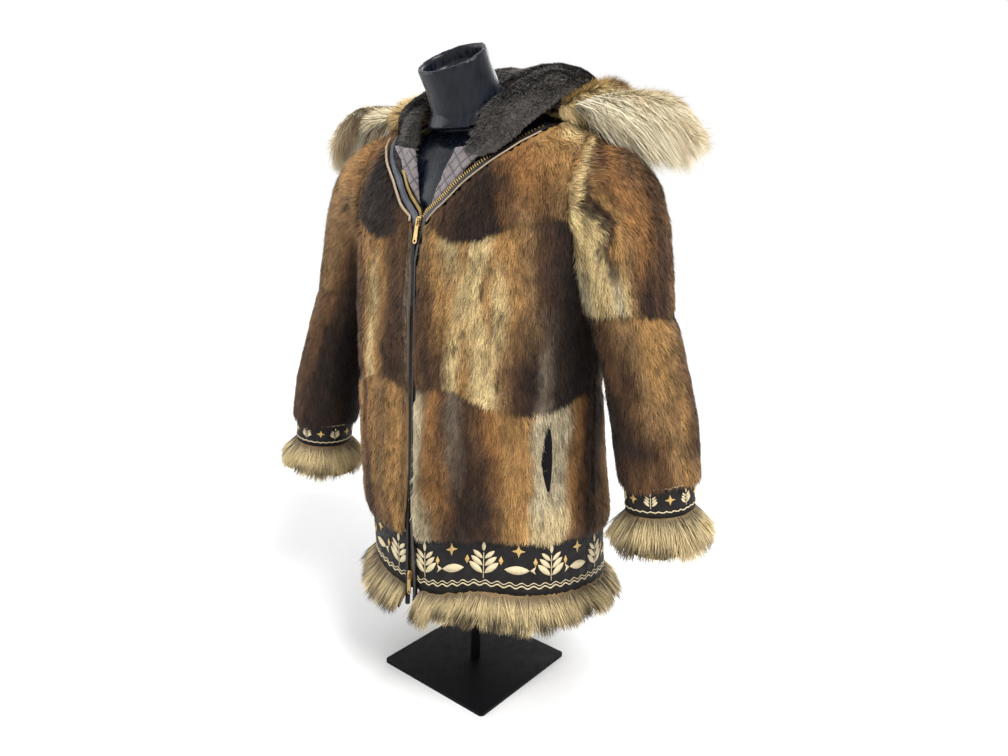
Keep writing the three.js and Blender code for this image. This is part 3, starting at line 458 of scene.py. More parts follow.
def sleeve_tint(side, p):
    """Colour of a sleeve's pelts at points on it."""
    _, _, plain = sleeve_frame(side, p)
    angle = plain + 4.0 * noise(p, 0.04, 11) + 2.0 * noise(p, 0.012, 12)
    height = p[:, 2] + 0.012 * noise(p, 0.05, 13)
    seam = SLEEVE_SEAM[side] + 0.004 * np.sin(np.radians(plain * 3))
    tint = np.where(
        (p[:, 2] > seam)[:, None],
        markings(SLEEVES[side + "_upper"], angle, height),
        markings(SLEEVES[side + "_lower"], angle, height),
    )
    tint = tint * (1 - 0.3 * np.exp(-(((p[:, 2] - seam) / 0.0035) ** 2)))[:, None]
    # Painted shade along the partings in the fur.
    return tint * shaded_partings(plain, p[:, 2], SLEEVE_PARTING_SHADE[side], 0.075)


# ---------------------------------------------------------------- meshes
def from_arrays(name, co, faces, tint=None, uv=None, normals=None):
    """A mesh object from points, faces (one array, or one for each width) and what its corners carry."""
    blocks = faces if isinstance(faces, list) else [faces]
    mesh = bpy.data.meshes.new(name)
    mesh.vertices.add(len(co))
    mesh.vertices.foreach_set("co", np.asarray(co, np.float32).ravel())
    corners = np.concatenate([b.ravel() for b in blocks]).astype(np.int32)
    sizes = np.concatenate([np.full(len(b), b.shape[1]) for b in blocks])
    starts = np.concatenate([[0], np.cumsum(sizes)[:-1]]).astype(np.int32)
    mesh.loops.add(len(corners))
    mesh.loops.foreach_set("vertex_index", corners)
    mesh.polygons.add(len(sizes))
    mesh.polygons.foreach_set("loop_start", starts)
    mesh.update(calc_edges=True)
    mesh.polygons.foreach_set("use_smooth", np.ones(len(sizes), bool))
    if tint is not None:
        colour = mesh.attributes.new("tint", "FLOAT_COLOR", "POINT")
        colour.data.foreach_set("color", np.asarray(tint, np.float32).ravel())
    if uv is not None:
        layer = mesh.uv_layers.new(name="OFBake")
        layer.data.foreach_set("uv", np.asarray(uv, np.float32)[corners].ravel())
    if normals is not None:
        mesh.normals_split_custom_set_from_vertices(np.asarray(normals, np.float32))
    mesh.update()
    piece = bpy.data.objects.new(name, mesh)
    bpy.context.scene.collection.objects.link(piece)
    return piece


def points_of(mesh):
    co = np.zeros(len(mesh.vertices) * 3, np.float32)
    mesh.vertices.foreach_get("co", co)
    return co.reshape(-1, 3).astype(float)


def normals_of(mesh):
    n = np.zeros(len(mesh.vertices) * 3, np.float32)
    mesh.vertices.foreach_get("normal", n)
    return n.reshape(-1, 3).astype(float)


def triangles_of(mesh):
    mesh.calc_loop_triangles()
    t = np.zeros(len(mesh.loop_triangles) * 3, np.int32)
    mesh.loop_triangles.foreach_get("vertices", t)
    return t.reshape(-1, 3)


def placed(name, bm):
    """A bmesh as an object of the scene."""
    mesh = bpy.data.meshes.new(name)
    bm.to_mesh(mesh)
    bm.free()
    piece = bpy.data.objects.new(name, mesh)
    bpy.context.scene.collection.objects.link(piece)
    return piece


def softened(name, nodes, voxel, passes):
    """A smooth copy of CAD nodes, remeshed to even faces."""
    bm = bmesh.new()
    for node in nodes:
        bm.from_mesh(NODES[node].data)
    bmesh.ops.remove_doubles(bm, verts=bm.verts, dist=2e-5)
    piece = placed(name, bm)
    grid = piece.modifiers.new("grid", "REMESH")
    grid.mode = "VOXEL"
    grid.voxel_size = voxel
    ease = piece.modifiers.new("ease", "SMOOTH")
    ease.iterations = passes
    ease.factor = 0.5
    apply_all(piece)
    piece.data.polygons.foreach_set("use_smooth", np.ones(len(piece.data.polygons), bool))
    return piece


def apply_all(piece):
    bpy.context.view_layer.update()
    made = bpy.data.meshes.new_from_object(piece.evaluated_get(bpy.context.evaluated_depsgraph_get()))
    piece.modifiers.clear()
    piece.data = made
    made.name = piece.name


def thinned(piece, share):
    """Fewer faces, in the same shape."""
    fewer = piece.modifiers.new("fewer", "DECIMATE")
    fewer.ratio = share
    apply_all(piece)


def largest(piece):
    """The piece without the crumbs that remeshing leaves off it."""
    bm = bmesh.new()
    bm.from_mesh(piece.data)
    left, islands = set(bm.verts), []
    while left:
        island, edge = set(), [next(iter(left))]
        while edge:
            v = edge.pop()
            if v in island:
                continue
            island.add(v)
            edge += [e.other_vert(v) for e in v.link_edges]
        left -= island
        islands.append(island)
    biggest = max(islands, key=len)
    bmesh.ops.delete(bm, geom=[v for v in bm.verts if v not in biggest], context="VERTS")
    bm.to_mesh(piece.data)
    bm.free()


def moved(piece, shift):
    """Adds a shift to each of a mesh's points."""
    mesh = piece.data
    mesh.vertices.foreach_set("co", (points_of(mesh) + shift).astype(np.float32).ravel())
    mesh.update()


def tinted(piece, tint, alpha=0.0):
    """Gives a mesh's points the colour that its material reads."""
    colour = piece.data.attributes.new("tint", "FLOAT_COLOR", "POINT")
    rgba = np.concatenate([tint, np.full((len(tint), 1), alpha)], axis=1)
    colour.data.foreach_set("color", rgba.astype(np.float32).ravel())


def scattered(piece, count, keep, rng):
    """Random points on the triangles whose corners pass keep, with smooth normals."""
    mesh = piece.data
    co, normal, tris = points_of(mesh), normals_of(mesh), triangles_of(mesh)
    tris = tris[keep[tris].all(axis=1)]
    a, b, c = co[tris[:, 0]], co[tris[:, 1]], co[tris[:, 2]]
    area = np.linalg.norm(np.cross(b - a, c - a), axis=1) / 2
    pick = rng.choice(len(tris), int(count), p=area / area.sum())
    r1, r2 = np.sqrt(rng.random(len(pick))), rng.random(len(pick))
    w = np.stack([1 - r1, r1 * (1 - r2), r1 * r2], axis=1)
    t = tris[pick]
    root = (co[t] * w[:, :, None]).sum(1)
    n = unit((normal[t] * w[:, :, None]).sum(1))
    return root, n


def outer_area(piece, keep):
    """Area of the triangles whose corners all pass keep."""
    co, tris = points_of(piece.data), triangles_of(piece.data)
    tris = tris[keep[tris].all(axis=1)]
    a, b, c = co[tris[:, 0]], co[tris[:, 1]], co[tris[:, 2]]
    return float(np.linalg.norm(np.cross(b - a, c - a), axis=1).sum() / 2)


def locks(
    name,
    root,
    normal,
    comb,
    length,
    width,
    lift,
    tint,
    rng,
    segments=1,
    clump=0.3,
    cell=0.009,
    swirl=0.35,
    spread=0.25,
):
    """Hair as flat tapering locks: each leans along comb and bends down to the surface."""
    n = len(root)
    flat = unit(comb - normal * (comb * normal).sum(1)[:, None])
    flat = turned(flat, normal, swirl * noise(root, 0.035, 21) + 0.22 * rng.standard_normal(n))
    size = (length * (0.72 + 0.5 * rng.random(n)))[:, None]
    steps = segments + 2
    share = np.linspace(0, 1, steps)
    rise = lift * (1 - (0.75 if segments else 0.25) * share)
    line = [root]
    wave = 0.10 * rng.standard_normal((n, 3))
    for k in range(1, steps):
        way = flat * math.cos(rise[k]) + normal * math.sin(rise[k]) + wave * share[k]
        line.append(line[-1] + unit(way) * size / (steps - 1))
    line = np.array(line)
    key = np.floor((root + 0.004 * rng.standard_normal((n, 3)) * 0.5) / cell).astype(np.int64)
    _, group = np.unique(key, axis=0, return_inverse=True)
    group = group.ravel()
    total = np.bincount(group)
    middle = np.stack([np.bincount(group, weights=line[-1][:, k]) / total for k in range(3)], axis=1)[group]
    pull = clump * (0.6 + 0.4 * rng.random(n))[:, None]
    for k in range(1, steps):
        line[k] += (middle - line[-1]) * pull * share[k] ** 1.5 if k < steps - 1 else 0
    line[-1] += (middle - line[-1]) * pull
    shape = {"sway": 0.6, "taper": (0.55, 1.6), "vary": (0.7, 0.6), "spread": spread}
    if callable(tint):
        return strips(name, line, normal, width, lambda: tint(line, share), rng, **shape)
    return strips(
        name,
        line,
        normal,
        width,
        lambda: np.repeat(tint[:, None, :], 2 * steps - 1, axis=1),
        rng,
        **shape,
    )


def strips(name, line, out, width, paint, rng, sway, taper, vary, spread):
    """Hair along lines of points, as flat tapering strips that face outwards, coloured by paint."""
    steps, n = line.shape[:2]
    share = np.linspace(0, 1, steps)
    way = unit(line[1] - line[0])
    side = turned(unit(np.cross(way, out)), way, sway * rng.standard_normal(n))
    narrow = 1 - taper[0] * share ** taper[1]
    half = (width * (vary[0] + vary[1] * rng.random(n)) / 2)[:, None]
    per = 2 * (steps - 1) + 1
    co, up = np.zeros((n, per, 3)), np.zeros((n, per, 3))
    alpha, uv = np.zeros((n, per)), np.zeros((n, per, 2))
    grid = int(math.ceil(math.sqrt(n)))
    cell_x, cell_y = (np.arange(n) % grid) / grid, (np.arange(n) // grid) / grid
    soft = unit(out + spread * rng.standard_normal((n, 3)))
    for k in range(steps - 1):
        for j, sign in ((0, -1), (1, 1)):
            v = 2 * k + j
            co[:, v] = line[k] + sign * side * half * narrow[k]
            up[:, v] = unit(soft + 0.3 * sign * side)
            alpha[:, v] = share[k]
            uv[:, v] = np.stack(
                [cell_x + (0.2 + 0.6 * j) / grid, cell_y + (0.1 + 0.8 * share[k]) / grid], axis=1
            )
    co[:, -1], up[:, -1], alpha[:, -1] = line[-1], soft, 1
    uv[:, -1] = np.stack([cell_x + 0.5 / grid, cell_y + 0.9 / grid], axis=1)
    first = (np.arange(n) * per)[:, None]
    quads = [first + np.array([2 * k, 2 * k + 1, 2 * k + 3, 2 * k + 2]) for k in range(steps - 2)]
    tips = first + np.array([per - 3, per - 2, per - 1])
    blocks = ([np.concatenate(quads)] if quads else []) + [tips]
    rgba = np.concatenate([np.clip(paint(), 0, 1), alpha[:, :, None]], axis=2)
    return from_arrays(
        name, co.reshape(-1, 3), blocks, rgba.reshape(-1, 4), uv.reshape(-1, 2), up.reshape(-1, 3)
    )


def per_vertex(colours, steps):
    """Colours at the steps of each lock, spread to its corners: two at each step and one at the tip."""
    parts = []
    for k in range(steps - 1):
        parts += [colours[k], colours[k]]
    return np.stack(parts + [colours[-1]], axis=1)


# ---------------------------------------------------------------- materials
def material(name, rough=0.6, metal=0.0, **more):
    made = bpy.data.materials.new(name)
    made.use_nodes = True
    tree = made.node_tree
    shader = tree.nodes["Principled BSDF"]
    shader.inputs["Roughness"].default_value = rough
    shader.inputs["Metallic"].default_value = metal
    for key, value in more.items():
        shader.inputs[key.replace("_", " ")].default_value = value
    return made, tree, shader


def add(tree, kind, **values):
    node = tree.nodes.new(kind)
    for key, value in values.items():
        if key in node.inputs:
            node.inputs[key].default_value = value
        else:
            setattr(node, key, value)
    return node


def bump(tree, shader, height, strength, distance):
    """Roughens a shader's surface by a height."""
    node = add(tree, "ShaderNodeBump", Strength=strength, Distance=distance)
    tree.links.new(height, node.inputs["Height"])
    tree.links.new(node.outputs["Normal"], shader.inputs["Normal"])
    return node


def place(tree):
    """Places on the piece, in the object's own metres."""
    return add(tree, "ShaderNodeTexCoord").outputs["Object"]


def noise_node(tree, scale, detail=3.0, rough=0.6):
    node = add(tree, "ShaderNodeTexNoise", Scale=scale, Detail=detail, Roughness=rough)
    tree.links.new(place(tree), node.inputs["Vector"])
    return node.outputs["Fac"]


def ramp(tree, fac, stops):
    """Colours, or greys given as one number, along a factor."""
    node = add(tree, "ShaderNodeValToRGB")
    while len(node.color_ramp.elements) < len(stops):
        node.color_ramp.elements.new(0.5)
    for element, (at, colour) in zip(node.color_ramp.elements, stops):
        element.position = at
        element.color = (*colour, 1) if isinstance(colour, tuple) else (colour, colour, colour, 1)
    tree.links.new(fac, node.inputs["Fac"])
    return node.outputs["Color"]


def mix(tree, kind, a, b, fac=1.0):
    node = add(tree, "ShaderNodeMix", data_type="RGBA", blend_type=kind)
    for socket, value in ((node.inputs[6], a), (node.inputs[7], b), (node.inputs[0], fac)):
        if isinstance(value, bpy.types.NodeSocket):
            tree.links.new(value, socket)
        else:
            socket.default_value = (*value, 1) if isinstance(value, (tuple, list)) else value
    return node.outputs[2]


def fur_material(name, root, tip, rough=0.62, sheen=0.06):
    """Hair: its own colour, with painted shade towards the root and a painted highlight at the tip."""
    made, tree, shader = material(
        name, rough, Sheen_Weight=sheen, Sheen_Roughness=0.5, Specular_IOR_Level=0.20
    )
    own = add(tree, "ShaderNodeAttribute", attribute_name="tint")
    # Painted shade towards each hair's root and a painted highlight at its tip, by the share along the
    # hair.
    along = ramp(tree, own.outputs["Alpha"], [(0.0, root), (0.55, 0.5 * (root + tip)), (1.0, tip)])
    scaled = mix(tree, "MULTIPLY", own.outputs["Color"], along)
    grain = ramp(tree, noise_node(tree, 260.0, 2.0), [(0.3, 0.84), (0.7, 1.12)])
    tree.links.new(mix(tree, "MULTIPLY", scaled, grain), shader.inputs["Base Color"])
    return made


def hide_material(name, dark):
    """The skin and undercoat that show between the hairs."""
    made, tree, shader = material(name, 0.9, Specular_IOR_Level=0.15)
    own = add(tree, "ShaderNodeAttribute", attribute_name="tint")
    grain = ramp(tree, noise_node(tree, 420.0, 4.0), [(0.3, dark * 0.7), (0.7, dark * 1.2)])
    tree.links.new(mix(tree, "MULTIPLY", own.outputs["Color"], grain), shader.inputs["Base Color"])
    bump(tree, shader, noise_node(tree, 520.0, 4.0), 0.5, 0.002)
    return made


def leather_material(name, colour, rough=0.42, grain=1.0, shine=0.2):
    made, tree, shader = material(name, rough, Specular_IOR_Level=shine)
    wear = ramp(
        tree,
        noise_node(tree, 38.0, 5.0),
        [(0.35, tuple(colour)), (0.75, tuple(c * 1.9 + 0.004 for c in colour))],
    )
    tree.links.new(wear, shader.inputs["Base Color"])
    cells = add(tree, "ShaderNodeTexVoronoi", Scale=900.0)
    tree.links.new(place(tree), cells.inputs["Vector"])
    bump(tree, shader, cells.outputs["Distance"], 0.25 * grain, 0.0006)
    rough_map = ramp(
        tree, noise_node(tree, 90.0, 4.0), [(0.3, rough * 0.8), (0.7, min(1, rough * 1.35))]
    )
    tree.links.new(rough_map, shader.inputs["Roughness"])
    return made


def plain_material(name, colour, rough, scale, metal=0.0, vary=0.25, dent=0.15, distance=0.0008, **more):
    """One colour with a fine grain in its tone, roughness and surface."""
    made, tree, shader = material(name, rough, metal, **more)
    grain = noise_node(tree, scale, 4.0)
    low, high = tuple(c * (1 - vary) for c in colour), tuple(min(1, c * (1 + vary)) for c in colour)
    tree.links.new(ramp(tree, grain, [(0.3, low), (0.7, high)]), shader.inputs["Base Color"])
    tree.links.new(
        ramp(
            tree, noise_node(tree, scale * 0.4, 3.0), [(0.3, rough * 0.8), (0.7, min(1, rough * 1.25))]
        ),
        shader.inputs["Roughness"],
    )
    bump(tree, shader, grain, dent, distance)
    return made


def dress(piece, made):
    """Gives a piece one material."""
    piece.data.materials.clear()
    piece.data.materials.append(made)


def settle(piece, made, slot, *nodes):
    """A piece's material, its slot (not used) and the CAD nodes that it stands for; all but the pulls keep
    still.
    """
    dress(piece, made)
    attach(piece, "root")
    if nodes:
        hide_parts(*nodes)
    return piece


def hits(nodes):
    """A tree of CAD nodes to cast rays at."""
    bm = bmesh.new()
    for node in nodes:
        bm.from_mesh(NODES[node].data)
    tree = BVHTree.FromBMesh(bm)
    bm.free()
    return tree


# ---------------------------------------------------------------- pelts
def skin(name, node, outward, inset, voxel=0.0075, beside=()):
    """A pelt's hide: a smooth copy of its node that lies under the hair, but meets the pelts beside it."""
    piece = softened(name, [node], voxel, 3)
    co, n = points_of(piece.data), normals_of(piece.data)
    out = (n * outward(co)).sum(1)
    share = np.clip(out * 3, 0, 1)
    if beside:
        others = hits(beside)
        far = np.array([others.find_nearest(Vector(p), 0.02)[3] or 0.02 for p in co])
        share = share * np.clip((far - 0.006) / 0.014, -0.42, 1)
    moved(piece, -n * inset * share[:, None])
    return piece, out


def body_outward(co):
    """Away from the middle of the body."""
    axis = np.stack([np.zeros(len(co)), np.full(len(co), 0.01), np.minimum(co[:, 2], 0.93)], axis=1)
    return unit(co - axis)


def body_comb(root, normal):
    """Down the body, and outwards over the shoulders."""
    down = np.tile(DOWN, (len(root), 1))
    over = np.stack([np.sign(root[:, 0]) * 0.9, np.zeros(len(root)), np.full(len(root), -0.5)], axis=1)
    share = np.clip((normal[:, 2] - 0.55) / 0.3, 0, 1)[:, None]
    return down * (1 - share) + over * share


def pelt_hair(name, piece, keep, tint, comb, seed, share=1.0, length=None, lift=0.40, width=None):
    """Short hair on a hide: streaked, with painted shade in the partings between tufts, some of it dark."""
    fur = bpy.context.scene.coat_fur
    rng = np.random.default_rng(seed)
    count = fur.pelt_density * share * outer_area(piece, keep)
    root, n = scattered(piece, count, keep, rng)
    streaks = noise(root * (1, 1, 0.35), 0.0055, seed + 5)
    streaks = streaks + 0.6 * noise(root * (1, 1, 0.6), 0.022, seed + 6)
    # Dark lines where the tufts part: painted shade.
    tuft_parting_shade = np.exp(-((noise(root * (1, 1, 0.45), 0.011, seed + 7) / 0.10) ** 2))
    tone = (1 + 0.36 * streaks) * (1.06 - 0.42 * tuft_parting_shade)
    colour = tint(root) * (0.74 + 0.52 * rng.random((len(root), 1))) * tone[:, None]
    dark = rng.random(len(root)) < 0.14
    colour[dark] *= 0.5
    long = np.full(len(root), length or fur.pelt_hair)
    lie = comb(root, n)
    placket = on_placket(root) & (root[:, 2] > 0.3)
    long[placket] *= 0.55
    lie[placket] = unit(lie[placket] + (0.75, 0, 0))
    long *= 1 + 0.25 * noise(root, 0.02, seed + 9)
    return locks(
        name,
        root,
        n,
        lie,
        long,
        width or fur.hair_width,
        lift,
        colour,
        rng,
        segments=0,
        clump=0.22,
        cell=0.007,
        swirl=0.30,
        spread=0.20,
    )


class COAT_OT_pelts(bpy.types.Operator):
    """Build the hides and the hair of the fronts, the back and the sleeves."""

    bl_idname = "coat.pelts"
    bl_label = "Pelts"

    def execute(self, context):
        hair = fur_material("hair", 0.62, 1.18)
        hide = hide_material("hide", 0.62)
        cuts = {
            "front_left": (0.31, 0.72),
            "front_right": (0.31, 0.72),
            "back": (0.64, 0.72),
            "sleeve_left": (0.47, 0.58),
            "sleeve_right": (0.47, 0.60),
        }
        for seed, (node, flat) in enumerate(cuts.items()):
            sleeve = node[7:] if node.startswith("sleeve") else None
            outward = (lambda co, s=sleeve: unit(co - sleeve_frame(s, co)[0])) if sleeve else body_outward
            tint = (lambda co, s=sleeve: sleeve_tint(s, co)) if sleeve else body_tint
            comb = (lambda root, n, s=sleeve: sleeve_frame(s, root)[1].copy()) if sleeve else body_comb
            beside = [
                other
                for other in (*cuts, "hood_shell")
                if other != node and {other, node} != {"front_left", "front_right"}
            ]
            piece, out = skin("hide_" + node, node, outward, PELT_INSET, beside=beside)
            co = points_of(piece.data)
            tinted(piece, tint(co))
            keep = (out > 0.25) & clear_of_pocket(co)
            coat = pelt_hair(
                "fur_" + node,
                piece,
                keep,
                tint,
                comb,
                100 + seed,
                share={"back": 0.60, "sleeve_right": 0.86}.get(node, 1.0),
            )
            thinned(piece, 0.5)
            settle(piece, hide, "pelt", node)
            settle(coat, hair, "pelt")
            flat_area(piece, flat)
        return {"FINISHED"}


def flat_area(piece, flat):
    """The cut's area: half of the thick shell's surface, within what its rectangle allows."""
    half = outer_area(piece, np.ones(len(piece.data.vertices), bool)) / 2
    return min(half, flat[0] * flat[1])


def clear_of_pocket(co):
    """True away from the two pocket slits."""
    clear = np.ones(len(co), bool)
    for node in ("pocket_left", "pocket_right"):
        low, high = (np.array(p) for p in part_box(node))
        middle, half = (low + high) / 2, (high - low) / 2
        off = np.hypot((co[:, 0] - middle[0]) / 0.012, (co[:, 1] - middle[1]) / 0.012)
        clear &= np.hypot(off, (co[:, 2] - middle[2]) / (half[2] + 0.004)) > 1
    return clear


# ---------------------------------------------------------------- long trims
def trim_tint(line, share, rng_seed, down):
    """Pale hair whose ends are dark in tufts at the trim's lower edge; down is the way the hair hangs."""
    depth = past_edge(line, down)
    rng = np.random.default_rng(rng_seed)
    n = len(line[0])
    root, middle, tip = linear((0.56, 0.49, 0.38)), linear((0.86, 0.77, 0.57)), linear((0.17, 0.12, 0.09))
    tuft = noise(line[0] * (1, 1, 0.4), 0.014, rng_seed) + 0.6 * noise(line[0], 0.05, rng_seed + 1)
    dark = np.clip(0.60 + 2.4 * tuft, 0, 1)[:, None] * (0.72 + 0.28 * rng.random((n, 1)))
    tone = 0.66 + 0.52 * rng.random((n, 1))
    colours = []
    for past, s in zip(depth, share):
        base = root * (1 - min(1, s / 0.35)) + middle * min(1, s / 0.35)
        t = np.clip(past / 0.013, 0, 1)[:, None] * dark
        colours.append((base * (1 - t) + tip * t) * tone)
    return per_vertex(colours, len(share))


class COAT_OT_trims(bpy.types.Operator):
    """Build the long fur trims of the hem and the cuffs."""

    bl_idname = "coat.trims"
    bl_label = "Trims"

    def execute(self, context):
        fur = context.scene.coat_fur
        hair = fur_material("trim_hair", 0.58, 1.10, 0.6, 0.15)
        hide = hide_material("trim_hide", 0.75)
        for seed, node in enumerate((*HEM_TRIMS, "cuff_trim_left", "cuff_trim_right")):
            rng = np.random.default_rng(300 + seed)
            cuff = node[10:] if node.startswith("cuff") else None
            outward = (lambda co, s=cuff: unit(co - sleeve_frame(s, co)[0])) if cuff else body_outward
            beside = () if cuff else [other for other in HEM_TRIMS if other != node]
            piece, out = skin("hide_" + node, node, outward, TRIM_INSET, 0.005, beside)
            co = points_of(piece.data)
            shade = linear((0.60, 0.50, 0.36)) * (0.75 + 0.25 * noise(co, 0.012, 31))[:, None]
            tinted(piece, shade)
            length = fur.cuff_hair if cuff else fur.trim_hair
            top = top_share(co, cuff)
            keep = (out > 0.1) & (top > 0.35)
            count = outer_area(piece, keep) * fur.trim_density
            root, n = scattered(piece, count, keep, rng)
            way = sleeve_frame(cuff, root)[1] if cuff else np.tile(DOWN, (len(root), 1))
            radial = unit(outward(root) * (1, 1, 0))
            comb = unit(way + 0.05 * radial)
            reach = length * (0.55 + 0.45 * top_share(root, cuff))
            reach = reach * (0.94 + 0.26 * noise(root * (1, 1, 0.2), 0.018, 33 + seed))
            down = sleeve_end(cuff) if cuff else np.array(DOWN)
            coat = locks(
                "fur_" + node,
                root,
                n,
                comb,
                reach,
                0.0014,
                0.22,
                lambda line, share, s=seed, d=down: trim_tint(line, share, 340 + s, d),
                rng,
                segments=2,
                clump=0.50,
                cell=0.015,
                swirl=0.20,
            )
            settle(piece, hide, "trim", node)
            settle(coat, hair, "trim")
            flat = (HEM_TRIMS.get(node, CUFF_TRIM_LENGTH), TRIM_HEIGHT)
            flat_area(piece, flat)
        return {"FINISHED"}


def past_edge(line, down):
    """How far points lie below the height at which the hair's ends turn dark."""
    at = line @ down
    sector = np.round(body_angle(line[-1]) / 12) if down[2] == -1 else np.zeros(line.shape[1])
    depth = np.zeros_like(at)
    for value in np.unique(sector):
        mine = sector == value
        depth[:, mine] = at[:, mine] - np.percentile(at[-1, mine], 88) + 0.033
    return depth


def top_share(co, cuff):
    """1 at the upper edge of a trim and 0 at its tips."""
    at = co @ sleeve_end(cuff) if cuff else -co[:, 2]
    angle = np.round(body_angle(co) / 12) if not cuff else np.zeros(len(co))
    share = np.zeros(len(co))
    for value in np.unique(angle):
        mine = angle == value
        low, high = at[mine].min(), at[mine].max()
        share[mine] = 1 - (at[mine] - low) / max(high - low, 1e-6)
    return share


# ---------------------------------------------------------------- ruff
def along(rows, at):
    """Smooth place between rows of points, at counted in rows."""
    rows = np.asarray(rows, float)
    k = np.clip(np.floor(at).astype(int), 0, len(rows) - 2)
    f = (at - k)[:, None]
    a, b = rows[np.maximum(k - 1, 0)], rows[k]
    c, d = rows[k + 1], rows[np.minimum(k + 2, len(rows) - 1)]
    return 0.5 * (2 * b + (c - a) * f + (2 * a - 5 * b + 4 * c - d) * f**2 + (3 * b - a - 3 * c + d) * f**3)


def ruff_guides(side, at):
    """Root, middle and tip of the ruff's hair at places counted in rows from the back."""
    out, back = RUFF_HANG[side]
    share = np.minimum(1, at / 3)[:, None]
    guides = []
    for k in range(3):
        p = along([row[k] for row in RUFF], at)
        shift = np.stack([p[:, 0] * (out - 1), np.full(len(p), back), np.zeros(len(p))], axis=1)
        guides.append((p + share * shift) * ((1, 1, 1) if side == "left" else (-1, 1, 1)))
    return guides


def ruff_hair(name, side, count, rng):
    """Long hair in pointed locks, from the roll of the hood out over the shoulder."""
    rows, per_row, layers = len(RUFF) - 1, 9, 3
    cell = rng.random(count) * rows * per_row
    lock = np.floor(cell).astype(int) * layers + rng.integers(0, layers, count)
    total = rows * per_row * layers
    long = 0.56 + 0.44 * rng.random(total) ** 0.7
    lean = 0.004 * rng.standard_normal((total, 3))
    shift = 0.35 * rng.standard_normal(total)
    tight = 0.50 + 0.3 * rng.random(total)
    middle = (lock // layers + 0.5 + shift[lock]) / per_row
    layer = (lock % layers - 1) * 0.0060
    low = np.clip((cell / per_row - 4.2) / 0.8, 0, 1) * rng.random(count)
    at = cell / per_row
    start = 0.42 * rng.random(count) ** 1.3
    reach = (0.62 + 0.40 * rng.random(count)) * long[lock]
    reach = reach * (1 - 0.42 * smooth(at, 4.35, 5.0) * rng.random(count))
    end = np.minimum(0.96, start + reach)
    steps = 3
    points = []
    fine = rng.standard_normal((count, 3))
    inward = np.array([-0.020 if side == "left" else 0.020, 0.0, -0.030])
    for k in range(steps):
        share = k / (steps - 1)
        t = start + (end - start) * share
        place = np.clip(at + (middle - at) * tight[lock] * share**1.6, 0, rows)
        a, b, c = ruff_guides(side, place)
        q = ((1 - t) ** 2)[:, None] * a + (2 * t * (1 - t))[:, None] * b + (t**2)[:, None] * c
        ahead = ruff_guides(side, np.clip(place + 0.05, 0, rows))
        behind = ruff_guides(side, np.clip(place - 0.05, 0, rows))
        across = unit(ahead[1] - behind[1])
        up = unit(np.cross(across, c - a)) * (1 if side == "left" else -1)
        up = np.where((up[:, 2] < 0)[:, None], -up, up)
        rise = (layer * (1 - 0.3 * share) + 0.004 * np.sin(share * 3.0))[:, None]
        points.append(
            q
            + up * rise
            + lean[lock] * share**1.5
            + fine * 0.0040 * (0.25 + share)
            + low[:, None] * inward * share
        )
    line = np.array(points)
    tuft = noise(line[0], 0.035, 61) + 0.5 * (rng.random(total)[lock] - 0.5)
    tan = np.clip(0.02 + 0.24 * tuft, 0, 1)[:, None]
    if side == "right":
        front = np.clip((at - 4.75) / 0.25, 0, 1)[:, None]
        tan = np.maximum(tan, front * (0.35 + 0.4 * rng.random((count, 1))))
    pale, warm = linear((0.925, 0.885, 0.775)), linear((0.760, 0.580, 0.380))
    base = pale * (1 - tan) + warm * tan
    tone = 0.80 + 0.30 * rng.random((count, 1))
    # Each lock runs from darker at its root to lighter at its tip: painted shade within the ruff.
    colours = [np.clip(base * tone * (0.80 + 0.28 * k / (steps - 1)), 0, 1) for k in range(steps)]
    away = unit(line[0] * (1, 1, 0) - (0, 0.04, 0) + (0, 0, 0.9) * np.abs(line[0][:, 2:3]) * 0.25)
    shape = {"sway": 0.7, "taper": (0.72, 1.5), "vary": (0.65, 0.7), "spread": 0.18}
    return strips(name, line, away, 0.0014, lambda: per_vertex(colours, steps), rng, **shape)


def undercoat(name, piece, density, rng):
    """Short pale hair under the ruff's long hair, combed out and down."""
    every = np.ones(len(piece.data.vertices), bool)
    root, n = scattered(piece, density * outer_area(piece, every), every, rng)
    comb = unit((root - (0, 0.10, 0)) * (1, 1, 0)) * 0.8 - np.array([0, 0, 0.7])
    tan = np.clip(0.10 + 0.5 * noise(root, 0.03, 72), 0, 1)[:, None]
    tint = linear((0.91, 0.86, 0.73)) * (1 - tan) + linear((0.80, 0.68, 0.50)) * tan
    tint = tint * (0.78 + 0.34 * rng.random((len(root), 1)))
    return locks(name, root, n, comb, 0.032, 0.0015, 0.22, tint, rng, segments=0, clump=0.3, cell=0.010)


class COAT_OT_ruff(bpy.types.Operator):
    """Build the long-haired ruff round the hood."""

    bl_idname = "coat.ruff"
    bl_label = "Ruff"

    def execute(self, context):
        fur = context.scene.coat_fur
        hair = fur_material("ruff_hair", 0.94, 1.06, 0.55, 0.05)
        hide = hide_material("ruff_hide", 0.8)
        for seed, side in enumerate(("left", "right")):
            node = "ruff_" + side
            rng = np.random.default_rng(500 + seed)
            piece = softened("hide_" + node, [node], 0.0065, 3)
            largest(piece)
            moved(piece, -normals_of(piece.data) * RUFF_INSET)
            co = points_of(piece.data)
            tinted(piece, linear((0.74, 0.67, 0.52)) * (0.9 + 0.2 * noise(co, 0.02, 71))[:, None])
            under = undercoat("under_" + node, piece, fur.ruff_density, rng)
            coat = ruff_hair("fur_" + node, side, fur.ruff_hairs, rng)
            settle(piece, hide, "ruff", node)
            settle(coat, hair, "ruff")
            settle(under, hair, "ruff")
            flat = (0.62, 0.16)
            flat_area(piece, flat)
        return {"FINISHED"}


